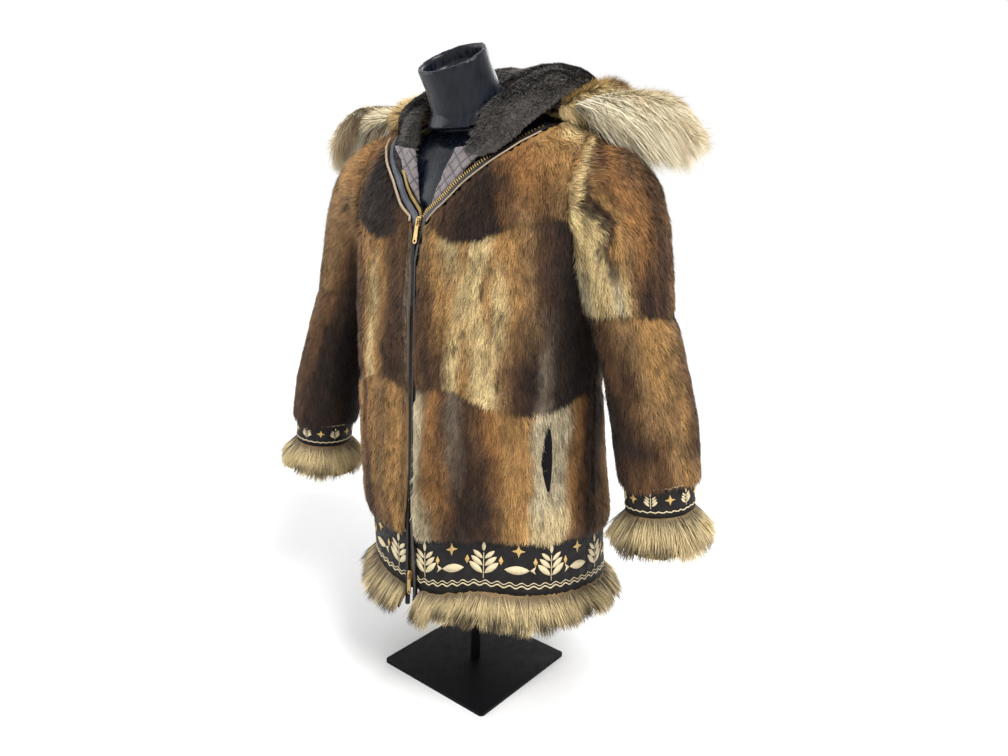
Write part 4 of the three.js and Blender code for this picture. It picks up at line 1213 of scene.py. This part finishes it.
# ---------------------------------------------------------------- hood
def hood_outward(co):
    """Away from a flat ring inside the rolled hood."""
    ring = np.stack([co[:, 0] * 0.72, 0.02 + (co[:, 1] - 0.02) * 0.55, np.full(len(co), 0.985)], axis=1)
    return unit(co - ring)


def hood_comb(root, normal):
    away = unit(root * (1, 1, 0) - (0, 0.02, 0))
    return away * 0.8 + np.array([0, 0, -0.8])


def hood_tint(co):
    angle = body_angle(co) + 6 * noise(co, 0.04, 81)
    return markings(HOOD_MARKS, angle, co[:, 2]) * (0.9 + 0.25 * noise(co, 0.02, 82))[:, None]


class COAT_OT_hood(bpy.types.Operator):
    """Build the hood that lies turned back: its fur outside, its sheared lining and the quilt below."""

    bl_idname = "coat.hood"
    bl_label = "Hood and lining"

    def spread(self, co):
        """The lining's lower ends, laid against the zip."""
        ends = smooth(-co[:, 2], -1.05, -0.98) * smooth(-co[:, 1], -0.02, 0.04)
        near, far = smooth(co[:, 0], 0.01, 0.05) * ends, smooth(-co[:, 0], 0.01, 0.05) * ends
        return near[:, None] * (0.018, 0.000, -0.001) + (far**2)[:, None] * (-0.004, 0.0, -0.030)

    def execute(self, context):
        self.shell()
        self.lining(context.scene.coat_fur.pile_hair, np.array(context.scene.coat_colours.pile))
        self.quilts(tuple(context.scene.coat_colours.quilt))
        return {"FINISHED"}

    def shell(self):
        """The hood's own pelts, outside."""
        hair, hide = bpy.data.materials["hair"], bpy.data.materials["hide"]
        shell = softened("hide_hood", ["hood_shell"], 0.008, 5)
        co, n = points_of(shell.data), normals_of(shell.data)
        out = (n * hood_outward(co)).sum(1)
        moved(shell, -n * PELT_INSET * np.clip(out * 3, 0, 1)[:, None])
        co = points_of(shell.data)
        tinted(shell, hood_tint(co))
        keep = out > -0.25
        coat = pelt_hair(
            "fur_hood",
            shell,
            keep,
            hood_tint,
            hood_comb,
            120,
            share=0.8,
            length=0.022,
            lift=0.6,
            width=0.0015,
        )
        settle(shell, hide, "pelt", "hood_shell")
        settle(coat, hair, "pelt")

    def lining(self, pile, base):
        """The sheared lining: a lumpy cushion with short dense pile."""
        lining = softened("pile_hood", ["hood_lining"], 0.0055, 4)
        co, n = points_of(lining.data), normals_of(lining.data)
        lumps = 0.0035 * noise(co * (1, 1, 1.6), 0.045, 91) + 0.0018 * noise(co, 0.018, 92)
        up = np.clip(n[:, 2] + 0.6, 0, 1)
        moved(lining, n * ((lumps + 0.0030) * up)[:, None] + self.spread(co))
        co, n = points_of(lining.data), normals_of(lining.data)
        shade = base * (1.0 + 0.5 * noise(co, 0.03, 93) + 0.3 * noise(co, 0.01, 94))[:, None]
        tinted(lining, np.clip(shade, 0, 1))
        keep = n[:, 2] > -0.35
        rng = np.random.default_rng(130)
        root, normal = scattered(lining, PILE_DENSITY * outer_area(lining, keep), keep, rng)
        tone = base * (
            0.7
            + 1.1 * rng.random((len(root), 1)) ** 2
            + 0.3 * noise(root, 0.025, 95)[:, None]
            + 0.3 * noise(root, 0.006, 99)[:, None]
        )
        ways = [noise(root, 0.05, 96), noise(root, 0.05, 97) - 0.4, noise(root, 0.05, 98) - 0.6]
        lie = unit(np.stack(ways, axis=1))
        nap = locks(
            "nap_hood",
            root,
            normal,
            lie,
            pile,
            0.0013,
            0.8,
            tone,
            rng,
            segments=0,
            clump=0.12,
            cell=0.006,
        )
        settle(lining, hide_material("pile", 0.8), "pile", "hood_lining")
        settle(nap, fur_material("nap", 0.75, 1.2, 0.85, 0.1), "pile")

    def quilts(self, colour):
        """The corners of the quilted body lining that show in the neck opening."""
        quilted = quilt_material(colour)
        for node, flat in (("lining_left", (0.055, 0.100)), ("lining_right", (0.050, 0.095))):
            piece = softened("quilt_" + node, [node], 0.0016, 3)
            co, n = points_of(piece.data), normals_of(piece.data)
            rising, falling = (co[:, 0] + co[:, 2]) * 260, (co[:, 0] - co[:, 2]) * 260
            puff = 0.0007 * (np.abs(np.sin(rising)) * np.abs(np.sin(falling)))
            low = co[co[:, 2].argmin()]
            moved(piece, n * (puff - 0.0005)[:, None] + (co - low) * (0.32, 0.22, 0.32))
            settle(piece, quilted, "quilt", node)
            flat_area(piece, flat)


def quilt_material(colour):
    """Thin cloth with crossed stitching, darkened along the stitch lines as painted shade in the quilting's
    grooves, and a fine weave.
    """
    made, tree, shader = material("quilt", 0.62, Sheen_Weight=0.3)
    where = place(tree)
    waves = []
    for turn in (0.785, -0.785):
        mapping = add(tree, "ShaderNodeMapping", Rotation=(0, turn, 0))
        tree.links.new(where, mapping.inputs["Vector"])
        wave = add(tree, "ShaderNodeTexWave", Scale=18.5, Distortion=0.6)
        tree.links.new(mapping.outputs["Vector"], wave.inputs["Vector"])
        waves.append(ramp(tree, wave.outputs["Fac"], [(0.0, 0.0), (0.16, 1.0), (1.0, 1.0)]))
    stitch = mix(tree, "MULTIPLY", waves[0], waves[1])
    grain = ramp(
        tree,
        noise_node(tree, 700.0, 3.0),
        [(0.3, tuple(c * 0.8 for c in colour)), (0.7, tuple(c * 1.25 for c in colour))],
    )
    # Dark along the stitch lines: the stitching and painted shade in the grooves between the puffs.
    dark = tuple(c * 0.35 for c in colour)
    tree.links.new(mix(tree, "MIX", dark, grain, stitch), shader.inputs["Base Color"])
    bump(tree, shader, stitch, 0.7, 0.0012)
    return made


# ---------------------------------------------------------------- bands
class Unrolled:
    """The outside of a ring-shaped CAD node, laid out flat: s metres along, t from 0 at the foot to 1."""

    def __init__(self, node, origin, axes, low, high, closed=False):
        tree = hits([node])
        self.origin, self.axes = np.array(origin, float), np.array(axes, float)
        self.closed = closed
        front, side, up = self.axes
        self.angles = np.radians(np.arange(-180, 180, BAND_STEP))
        levels = np.arange(low, high, BAND_RISE)
        ray = np.full((len(levels), len(self.angles)), np.nan)
        for i, h in enumerate(levels):
            base = self.origin + up * h
            for j, a in enumerate(self.angles):
                way = front * math.cos(a) + side * math.sin(a)
                hit = tree.ray_cast(Vector(base + way * 0.5), Vector(-way), 0.5)
                if hit[0] is not None:
                    ray[i, j] = 0.5 - hit[3]
        have = ~np.isnan(ray)
        covered = have.sum(axis=0)
        columns = covered > 0.8 * np.median(covered[covered > 0])
        self.columns = np.where(columns)[0]
        gaps = np.where(np.diff(self.columns) > 1)[0]
        if len(gaps) and not closed:
            self.columns = np.roll(self.columns, -(gaps[0] + 1))
        self.at = np.unwrap(self.angles[self.columns])
        picked = ray[:, self.columns]
        ok = have[:, self.columns]
        first = ok.argmax(axis=0)
        last = len(levels) - 1 - ok[::-1].argmax(axis=0)
        blur = self.blurred(np.stack([levels[first] - BAND_RISE / 2, levels[last] + BAND_RISE / 2]), 4)
        self.bottom, self.top = blur
        rows = 9
        self.shares = np.linspace(0, 1, rows)
        radius = np.zeros((rows, len(self.columns)))
        for j in range(len(self.columns)):
            good = ok[:, j]
            radius[:, j] = np.interp(
                self.bottom[j] + (self.top[j] - self.bottom[j]) * self.shares,
                levels[good],
                picked[good, j],
            )
        self.radius = self.blurred(radius, 6)
        if not closed:
            self.reach_seams()
        middle = self.radius[rows // 2]
        step = np.hypot(np.diff(middle), middle[1:] * np.diff(self.at))
        self.run = np.concatenate([[0], np.cumsum(step)])
        self.length = float(self.run[-1] + (middle[0] * math.radians(BAND_STEP) if closed else 0))

    def reach_seams(self):
        """One more column at each end, so that the band meets its neighbours at the seams."""
        step = self.at[1] - self.at[0]
        self.at = np.concatenate([[self.at[0] - step], self.at, [self.at[-1] + step]])
        self.radius = np.pad(self.radius, ((0, 0), (1, 1)), "edge")
        self.bottom, self.top = np.pad(self.bottom, 1, "edge"), np.pad(self.top, 1, "edge")

    def blurred(self, table, width):
        kernel = np.exp(-((np.arange(-3 * width, 3 * width + 1) / width) ** 2) / 2)
        kernel /= kernel.sum()
        pad = 3 * width
        made = []
        for row in table:
            if self.closed:
                long = np.concatenate([row[-pad:], row, row[:pad]])
            else:
                long = np.concatenate(
                    [2 * row[0] - row[1:pad + 1][::-1], row, 2 * row[-1] - row[-pad - 1:-1][::-1]]
                )
            made.append(np.convolve(long, kernel, "valid"))
        return np.array(made)

    def spot(self, s, t, lift=0.0):
        """The point s metres along, at share t of the height, lifted off the surface."""
        place = np.interp(
            s % self.length if self.closed else s,
            np.append(self.run, self.length),
            np.arange(len(self.run) + 1),
        )
        n = len(self.run)
        k = int(place) if self.closed else min(int(place), n - 1)
        f = place - k if self.closed else min(place - k, 1.0)
        a, b = k % n, (k + 1) % n if self.closed else min(k + 1, n - 1)
        angle = self.at[a] + math.radians(BAND_STEP) * f
        radii = self.radius[:, a] * (1 - f) + self.radius[:, b] * f
        r = np.interp(t, self.shares, radii) + lift
        bottom = self.bottom[a] * (1 - f) + self.bottom[b] * f
        top = self.top[a] * (1 - f) + self.top[b] * f
        h = bottom * (1 - t) + top * t
        front, side, up = self.axes
        return Vector(self.origin + (front * math.cos(angle) + side * math.sin(angle)) * r + up * h)

    def height(self):
        return float(np.mean(self.top - self.bottom))


def band_mesh(name, band, thick):
    """The band itself, as a smooth wall under the surface of its node."""
    bm = bmesh.new()
    bmesh.ops.create_grid(bm, x_segments=max(12, int(band.length / 0.005)), y_segments=8, size=0.5)
    for v in bm.verts:
        v.co = band.spot((v.co.x + 0.5) * band.length, (v.co.y + 0.5) * 1.10 - 0.07, -0.0002)
    if band.closed:
        bmesh.ops.remove_doubles(bm, verts=bm.verts, dist=1e-4)
    return finished(name, bm, thick, -1)


def finished(name, bm, thick, offset):
    """A bmesh as a piece with a wall, its faces pointing off the body."""
    piece = placed(name, bm)
    wall = piece.modifiers.new("wall", "SOLIDIFY")
    wall.thickness = thick
    wall.offset = offset
    apply_all(piece)
    piece.data.polygons.foreach_set("use_smooth", np.ones(len(piece.data.polygons), bool))
    return piece


def leaf(x, y, long, wide, turn):
    """A pointed oval from its stem at x, y."""
    side = [(long * k / 7, wide / 2 * math.sin(math.pi * k / 7) ** 0.8) for k in range(8)]
    outline = side + [(a, -b) for a, b in side[-2:0:-1]]
    c, s = math.cos(turn), math.sin(turn)
    return [(x + a * c - b * s, y + a * s + b * c) for a, b in outline]


def sprig(x, y, tall):
    """A stem with leaves in pairs and one on top."""
    shapes = [
        [(x - 0.0007, y), (x + 0.0007, y), (x + 0.0004, y + tall * 0.7), (x - 0.0004, y + tall * 0.7)]
    ]
    for k in range(3):
        h = y + tall * (0.14 + 0.20 * k)
        long = tall * (0.48 - 0.07 * k)
        for sign in (-1, 1):
            shapes.append(leaf(x + sign * 0.0016, h, long, long * 0.34, math.pi / 2 - sign * 0.85))
    shapes.append(leaf(x, y + tall * 0.74, tall * 0.26, tall * 0.10, math.pi / 2))
    return shapes


def star(x, y, r):
    """A star of four points."""
    outline = []
    for k in range(8):
        reach = r if k % 2 == 0 else r * 0.36
        outline.append((x + reach * math.sin(k * math.pi / 4), y + reach * math.cos(k * math.pi / 4)))
    return [outline]


def fish(x, y, long, way):
    """A body and a notched tail, facing along way."""
    body = [(x + way * (a - x), b) for a, b in leaf(x, y, long, long * 0.36, 0)]
    tail = [
        (x - way * long * 0.02, y),
        (x - way * long * 0.26, y + long * 0.17),
        (x - way * long * 0.19, y),
        (x - way * long * 0.26, y - long * 0.17),
    ]
    return [body, tail]


def diamond(x, y, w, h):
    return [[(x - w / 2, y), (x, y - h / 2), (x + w / 2, y), (x, y + h / 2)]]


def inlay(name, band, shapes, thick=0.0009):
    """Flat shapes given in metres along and up a band, laid on it in strips that follow its curve."""
    bm = bmesh.new()
    high = band.height()
    for outline in shapes:
        bm.faces.new([bm.verts.new((a, b, 0)) for a, b in outline])
    bmesh.ops.recalc_face_normals(bm, faces=bm.faces)
    for k in range(int(band.length / 0.006)):
        bmesh.ops.bisect_plane(
            bm,
            geom=bm.verts[:] + bm.edges[:] + bm.faces[:],
            plane_co=(k * 0.006, 0, 0),
            plane_no=(1, 0, 0),
            dist=1e-6,
        )
    bmesh.ops.triangulate(bm, faces=bm.faces)
    for f in bm.faces:
        if f.normal.z < 0:
            f.normal_flip()
    for v in bm.verts:
        v.co = band.spot(v.co.x, v.co.y / high, 0.0001)
    return finished(name, bm, thick, 1)


def wave_line(name, band, level, swing, pitch, wide):
    """A narrow raised line that waves along a band."""
    bm = bmesh.new()
    bmesh.ops.create_grid(bm, x_segments=int(band.length / 0.004), y_segments=1, size=0.5)
    high = band.height()
    waves = max(1, round(band.length / pitch))
    for v in bm.verts:
        share = v.co.x + 0.5
        up = level + swing * math.sin(2 * math.pi * waves * share) + v.co.y * wide
        v.co = band.spot(
            share * band.length if band.closed else share * (band.length - 0.004) + 0.002,
            up / high,
            0.0001,
        )
    if band.closed:
        bmesh.ops.remove_doubles(bm, verts=bm.verts, dist=1e-4)
    return finished(name, bm, 0.0009, 1)


def joined(name, pieces):
    """Several pieces as one mesh."""
    bm = bmesh.new()
    for piece in pieces:
        bm.from_mesh(piece.data)
        old = piece.data
        bpy.data.objects.remove(piece)
        bpy.data.meshes.remove(old)
    return placed(name, bm)


class COAT_OT_bands(bpy.types.Operator):
    """Build the inlaid leather bands of the hem and the cuffs."""

    bl_idname = "coat.bands"
    bl_label = "Bands"

    def execute(self, context):
        colour = context.scene.coat_colours
        black = leather_material("band_leather", tuple(colour.leather), 0.62)
        cream = plain_material("inlay", tuple(colour.inlay), 0.55, 300.0, vary=0.18)
        gold = plain_material("gold_inlay", tuple(colour.gold), 0.5, 300.0, vary=0.25)
        hem = (0, 0, 0), ((0, -1, 0), (1, 0, 0), (0, 0, 1)), 0.21, 0.40
        for node, flat in (
            ("hem_band_left", (0.34, 0.125)),
            ("hem_band_right", (0.32, 0.12)),
            ("hem_band_back", (0.60, 0.125)),
        ):
            self.band(node, Unrolled(node, *hem), flat, black, cream, gold)
        for side in ("left", "right"):
            line = np.array(SLEEVE_LINES[side])
            way = unit(line[-2] - line[-1])
            front = unit(np.array([0, -1, 0]) - way * -way[1])
            out = np.cross(way, front)
            node = "cuff_band_" + side
            low, high = (np.array(p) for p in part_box(node))
            origin = (low + high) / 2
            self.band(
                node,
                Unrolled(node, origin, (front, out, way), -0.05, 0.05, True),
                (0.37, 0.055),
                black,
                cream,
                gold,
            )
        return {"FINISHED"}

    def band(self, node, band, flat, black, cream, gold):
        piece = band_mesh("leather_" + node, band, 0.0026)
        high = band.height()
        pale, bright = [], []
        hem = node.startswith("hem")
        pitch, fewest = (0.062, 2) if hem else (0.030, 4)
        foot, tall = (0.20, 0.58) if hem else (0.24, 0.52)
        count = max(fewest, round(band.length / pitch))
        for k in range(count):
            x = (k + 0.5) * band.length / count
            if k % 2 == 0:
                pale += sprig(x, high * foot, high * tall)
            elif hem:
                way = 1 if k % 4 == 1 else -1
                pale += fish(x - way * 0.019, high * 0.37, 0.042, way)
                bright += star(x, high * 0.67, 0.0115)
            else:
                bright += star(x, high * 0.50, 0.0085)
            if hem and k:
                bright += diamond(k * band.length / count, high * 0.50, 0.008, 0.016)
        waves = HEM_WAVES if hem else CUFF_WAVES
        lines = [wave_line("line", band, high * level, *size) for level, *size in waves]
        shapes = joined("ornament_" + node, [inlay("pale", band, pale)] + lines)
        stars = inlay("stars_" + node, band, bright)
        settle(piece, black, "leather", node)
        settle(shapes, cream, "leather")
        settle(stars, gold, "leather")
        flat_area(piece, flat)


# ---------------------------------------------------------------- zip
def front_at(tree, x, z):
    """Where a ray from in front meets the tree, or None."""
    return tree.ray_cast(Vector((x, -0.6, z)), Vector((0, 1, 0)), 0.6)[0]


def neck_path(step):
    """Points along the left edge of the neck opening, with the directions along and outwards in XZ."""
    line = np.array(NECK_LINE)
    run = np.concatenate([[0], np.cumsum(np.hypot(*np.diff(line, axis=0).T))])
    at = np.arange(0.002, run[-1] - 0.002, step)
    x, z = np.interp(at, run, line[:, 0]), np.interp(at, run, line[:, 1])
    kernel = np.ones(5) / 5
    tangent = np.stack([np.gradient(x), np.gradient(z)], axis=1)
    for k in range(2):
        tangent[:, k] = np.convolve(np.pad(tangent[:, k], 2, "edge"), kernel, "valid")
    tangent = unit(tangent)
    return np.stack([x, z], axis=1), tangent


def strip_material(open_colour, closed_colour):
    """Leather that shows bluish along the open neck and black where the zip is closed."""
    made = leather_material("strip", open_colour, 0.40)
    tree = made.node_tree
    shader = tree.nodes["Principled BSDF"]
    wear = shader.inputs["Base Color"].links[0].from_socket
    apart = add(tree, "ShaderNodeSeparateXYZ")
    tree.links.new(place(tree), apart.inputs["Vector"])
    high = add(tree, "ShaderNodeMapRange", **{"From Min": 0.852, "From Max": 0.866})
    tree.links.new(apart.outputs["Z"], high.inputs["Value"])
    tree.links.new(
        mix(tree, "MIX", closed_colour, wear, high.outputs["Result"]), shader.inputs["Base Color"]
    )
    return made


class COAT_OT_zip(bpy.types.Operator):
    """Build the teeth of the zip and finish its tapes, sliders, pull tabs and piping."""

    bl_idname = "coat.zip"
    bl_label = "Zip"

    def execute(self, context):
        zipper, colour = context.scene.coat_zip, context.scene.coat_colours
        brass = plain_material("brass", tuple(colour.brass), 0.32, 220.0, metal=1.0, vary=0.2, dent=0.08)
        dark_brass = plain_material(
            "dark_brass", tuple(c * 0.12 for c in colour.brass), 0.55, 220.0, metal=1.0, vary=0.3
        )
        tape = plain_material("tape", (0.006, 0.006, 0.007), 0.8, 900.0, dent=0.5, Specular_IOR_Level=0.1)
        piping = leather_material("piping", tuple(colour.leather), 0.28, shine=0.45)
        strip = strip_material(tuple(colour.strip), tuple(colour.leather))
        edge = plain_material("pelt_edge", tuple(colour.edge), 0.8, 350.0, dent=0.4)
        for side, sign in (("left", 1), ("right", -1)):
            chain = hits(["zip_chain_" + side])
            teeth = self.teeth("teeth_" + side, sign, chain, zipper)
            settle(teeth, brass, "brass")
            dress(NODES["zip_chain_" + side], dark_brass)
            dress(NODES["zip_tape_" + side], tape)
            dress(NODES["welt_" + side], piping if side == "left" else strip)
            rim = self.rim("pelt_edge_" + side, side, sign)
            settle(rim, edge, "leather")
            # The pocket mouth is near-black: painted shade for the inside of the slit.
            mouth = self.pocket("pocket_mouth_" + side, side, sign)
            settle(mouth, tape, "tape", "pocket_" + side)
            flat_area(mouth, (0.03, 0.125))
        for node in ("slider_top", "slider_bottom", "pull_top", "pull_bottom"):
            rounded = NODES[node].modifiers.new("rounded", "BEVEL")
            rounded.width = 0.0003
            rounded.segments = 2
            dress(NODES[node], brass)
        return {"FINISHED"}

    def teeth(self, name, sign, chain, zipper):
        """Small rounded blocks on the bead, along the open edge and, side by side, where it is closed."""
        bm = bmesh.new()
        path, tangent = neck_path(zipper.pitch)
        spots = [(p[0], p[1], t) for p, t in zip(path, tangent)]
        long, wide, high = zipper.tooth
        shift = 0 if sign > 0 else zipper.pitch / 2
        level = CLOSED_ZIP[0] + shift
        while level < CLOSED_ZIP[1]:
            spots.append((0.0006, level, np.array([0.0, 1.0])))
            level += zipper.pitch
        for x, z, t in spots:
            out = np.array([t[1], -t[0]])
            middle = (x + out[0] * long * 0.42, z + out[1] * long * 0.42)
            hit = front_at(chain, sign * middle[0], middle[1])
            if hit is None:
                continue
            along_it = Vector((sign * t[0], 0, t[1]))
            outward = Vector((sign * out[0], 0, out[1]))
            turn = Matrix((outward, Vector((0, 1, 0)), along_it)).transposed().to_4x4()
            where = Matrix.Translation((sign * middle[0], hit.y + high * 0.18, middle[1]))
            bmesh.ops.create_cube(
                bm, size=1.0, matrix=where @ turn @ Matrix.Diagonal((long, high, wide, 1))
            )
        bmesh.ops.bevel(
            bm, geom=bm.edges[:], offset=0.00035, segments=1, affect="EDGES", profile=0.5, material=-1
        )
        bmesh.ops.recalc_face_normals(bm, faces=bm.faces)
        return placed(name, bm)

    def pocket(self, name, side, sign):
        """A slit in the pelt, painted dark as the shade inside it: a sunken lens."""
        low, high = (Vector(p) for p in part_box("pocket_" + side))
        facing = math.radians(POCKET_FACING)
        outward = Vector((sign * math.sin(facing), -math.cos(facing), 0))
        across = Vector((sign * math.cos(facing), math.sin(facing), 0))
        hide = BVHTree.FromObject(
            bpy.data.objects["hide_front_" + side], bpy.context.evaluated_depsgraph_get()
        )
        middle, half = (low + high) / 2, (high.z - low.z) / 2
        bm = bmesh.new()
        bmesh.ops.create_grid(bm, x_segments=8, y_segments=22, size=0.5)
        for v in bm.verts:
            u, t = v.co.x * 2, v.co.y * 2
            wide = 0.0085 * max(0.04, 1 - t * t) ** 0.7
            spot = middle + across * (u * wide - 0.05 * t * half) + Vector((0, 0, t * half))
            hit = hide.ray_cast(spot + outward * 0.06, -outward, 0.12)[0] or spot
            v.co = hit + outward * (0.0014 - 0.0012 * (1 - u * u))
        bmesh.ops.recalc_face_normals(bm, faces=bm.faces)
        return finished(name, bm, 0.002, 0)

    def rim(self, name, side, sign):
        """The pale cut edge of the pelt beside the piping."""
        front = hits(["front_" + side])
        path, tangent = neck_path(0.006)
        wide, depth = (0.0018, 0.0055) if side == "left" else (0.0038, 0.0035)
        bm = bmesh.new()
        bmesh.ops.create_grid(bm, x_segments=len(path) - 1, y_segments=2, size=0.5)
        for v in bm.verts:
            k = min(len(path) - 1, round((v.co.x + 0.5) * (len(path) - 1)))
            t = tangent[k]
            across = WELT_REACH + (v.co.y + 0.5) * wide
            x, z = path[k][0] + t[1] * across, path[k][1] - t[0] * across
            hit = front_at(front, sign * (x + 0.002), z - 0.001)
            y = hit.y if hit is not None else -0.10
            v.co = (sign * x, y + depth - 0.0010 * (1 - (2 * v.co.y) ** 2), z)
        bmesh.ops.recalc_face_normals(bm, faces=bm.faces)
        return finished(name, bm, 0.002, 0)


# ---------------------------------------------------------------- stand and stage
def form_material(colour):
    """Blue-black gloss paint with the faint strokes of its brush, lighter along the strokes as painted
    brushed highlights.
    """
    made, tree, shader = material("form_gloss", 0.3, Specular_IOR_Level=0.24)
    mapping = add(tree, "ShaderNodeMapping", Scale=(150.0, 150.0, 9.0), Rotation=(0.35, 0.2, 0))
    tree.links.new(place(tree), mapping.inputs["Vector"])
    strokes = add(tree, "ShaderNodeTexNoise", Scale=1.0, Detail=3.0, Roughness=0.6)
    tree.links.new(mapping.outputs["Vector"], strokes.inputs["Vector"])
    fac = strokes.outputs["Fac"]
    # The base colour lightens along the strokes as painted brushed highlights; the roughness and the bump
    # follow the same strokes.
    tree.links.new(
        ramp(tree, fac, [(0.35, colour), (0.7, tuple(c * 2.6 + 0.003 for c in colour))]),
        shader.inputs["Base Color"],
    )
    tree.links.new(ramp(tree, fac, [(0.3, 0.13), (0.7, 0.42)]), shader.inputs["Roughness"])
    bump(tree, shader, fac, 0.35, 0.0010)
    return made


class COAT_OT_stand(bpy.types.Operator):
    """Build the torso form and finish its pole and base plate."""

    bl_idname = "coat.stand"
    bl_label = "Form and stand"

    def execute(self, context):
        colour = context.scene.coat_colours
        form = softened("torso", ["form"], 0.0034, 10)
        thinned(form, 0.10)
        settle(form, form_material(tuple(colour.form)), "form", "form")
        satin = plain_material(
            "satin_black",
            (0.003, 0.003, 0.004),
            0.45,
            180.0,
            vary=0.25,
            dent=0.06,
            Specular_IOR_Level=0.08,
        )
        for node in ("pole", "base_plate"):
            rounded = NODES[node].modifiers.new("rounded", "BEVEL")
            rounded.width = 0.0008
            rounded.segments = 2
            dress(NODES[node], satin)
        return {"FINISHED"}


class COAT_OT_stage(bpy.types.Operator):
    """Set up the floor, the lights and the camera."""

    bl_idname = "coat.stage"
    bl_label = "Stage"

    def execute(self, context):
        bm = bmesh.new()
        bmesh.ops.create_grid(bm, x_segments=1, y_segments=1, size=9.0)
        floor = placed("floor", bm)
        dress(
            floor,
            plain_material(
                "floor_white",
                (0.76, 0.76, 0.76),
                0.9,
                30.0,
                vary=0.01,
                dent=0.02,
                Specular_IOR_Level=0.1,
            ),
        )
        for name, (where, size, power, tone) in LAMPS.items():
            lamp = bpy.data.lights.new(name, "AREA")
            lamp.size, lamp.energy, lamp.color = size, power, tone
            lit = bpy.data.objects.new(name, lamp)
            lit.location = where
            aim = Vector(COAT_MIDDLE) - Vector(where)
            lit.rotation_euler = aim.to_track_quat("-Z", "Y").to_euler()
            context.scene.collection.objects.link(lit)
        sun = bpy.data.lights.new("window", "SUN")
        sun.energy, sun.angle = 2.3, 0.40
        window = bpy.data.objects.new("window", sun)
        window.rotation_euler = Vector(SUN_WAY).to_track_quat("-Z", "Y").to_euler()
        context.scene.collection.objects.link(window)
        world = bpy.data.worlds.new("white_room")
        world.use_nodes = True
        world.node_tree.nodes["Background"].inputs["Color"].default_value = (1.0, 1.0, 1.0, 1.0)
        world.node_tree.nodes["Background"].inputs["Strength"].default_value = 1.0
        context.scene.world = world
        context.scene.view_settings.view_transform = "Standard"
        aim, down, roll = (math.radians(v) for v in CAMERA_TURNS)
        ahead = Vector((-math.sin(aim) * math.cos(down), math.cos(aim) * math.cos(down), -math.sin(down)))
        level = Vector((math.cos(aim), math.sin(aim), 0))
        plumb = level.cross(ahead)
        right = level * math.cos(roll) + plumb * math.sin(roll)
        up = -level * math.sin(roll) + plumb * math.cos(roll)
        lens = bpy.data.cameras.new("camera")
        lens.lens, lens.sensor_width, lens.sensor_fit = CAMERA_LENS, 36.0, "HORIZONTAL"
        camera = bpy.data.objects.new("camera", lens)
        turn = Matrix((right, up, -ahead)).transposed().to_4x4()
        camera.matrix_world = Matrix.Translation(CAMERA_AT) @ turn
        context.scene.collection.objects.link(camera)
        context.scene.camera = camera
        return {"FINISHED"}


# ---------------------------------------------------------------- add-on
OPERATORS = (
    COAT_OT_stage,
    COAT_OT_stand,
    COAT_OT_pelts,
    COAT_OT_trims,
    COAT_OT_bands,
    COAT_OT_hood,
    COAT_OT_ruff,
    COAT_OT_zip,
)


class COAT_PT_panel(bpy.types.Panel):
    """The coat's steps and settings."""

    bl_idname = "COAT_PT_panel"
    bl_label = "Fur coat"
    bl_space_type = "VIEW_3D"
    bl_region_type = "UI"
    bl_category = "Coat"

    def draw(self, context):
        for step in OPERATORS:
            self.layout.operator(step.bl_idname)
        for settings in (context.scene.coat_fur, context.scene.coat_colours, context.scene.coat_zip):
            box = self.layout.box()
            for key in settings.__annotations__:
                box.prop(settings, key)


CLASSES = (CoatFur, CoatColours, CoatZip, *OPERATORS, COAT_PT_panel)


def register():
    for made in CLASSES:
        bpy.utils.register_class(made)
    bpy.types.Scene.coat_fur = bpy.props.PointerProperty(type=CoatFur)
    bpy.types.Scene.coat_colours = bpy.props.PointerProperty(type=CoatColours)
    bpy.types.Scene.coat_zip = bpy.props.PointerProperty(type=CoatZip)


def unregister():
    for key in ("coat_fur", "coat_colours", "coat_zip"):
        delattr(bpy.types.Scene, key)
    for made in reversed(CLASSES):
        bpy.utils.unregister_class(made)


def main():
    register()
    for step in (
        bpy.ops.coat.stage,
        bpy.ops.coat.stand,
        bpy.ops.coat.pelts,
        bpy.ops.coat.trims,
        bpy.ops.coat.bands,
        bpy.ops.coat.hood,
        bpy.ops.coat.ruff,
        bpy.ops.coat.zip,
    ):
        step()


if __name__ == "__main__":
    main()
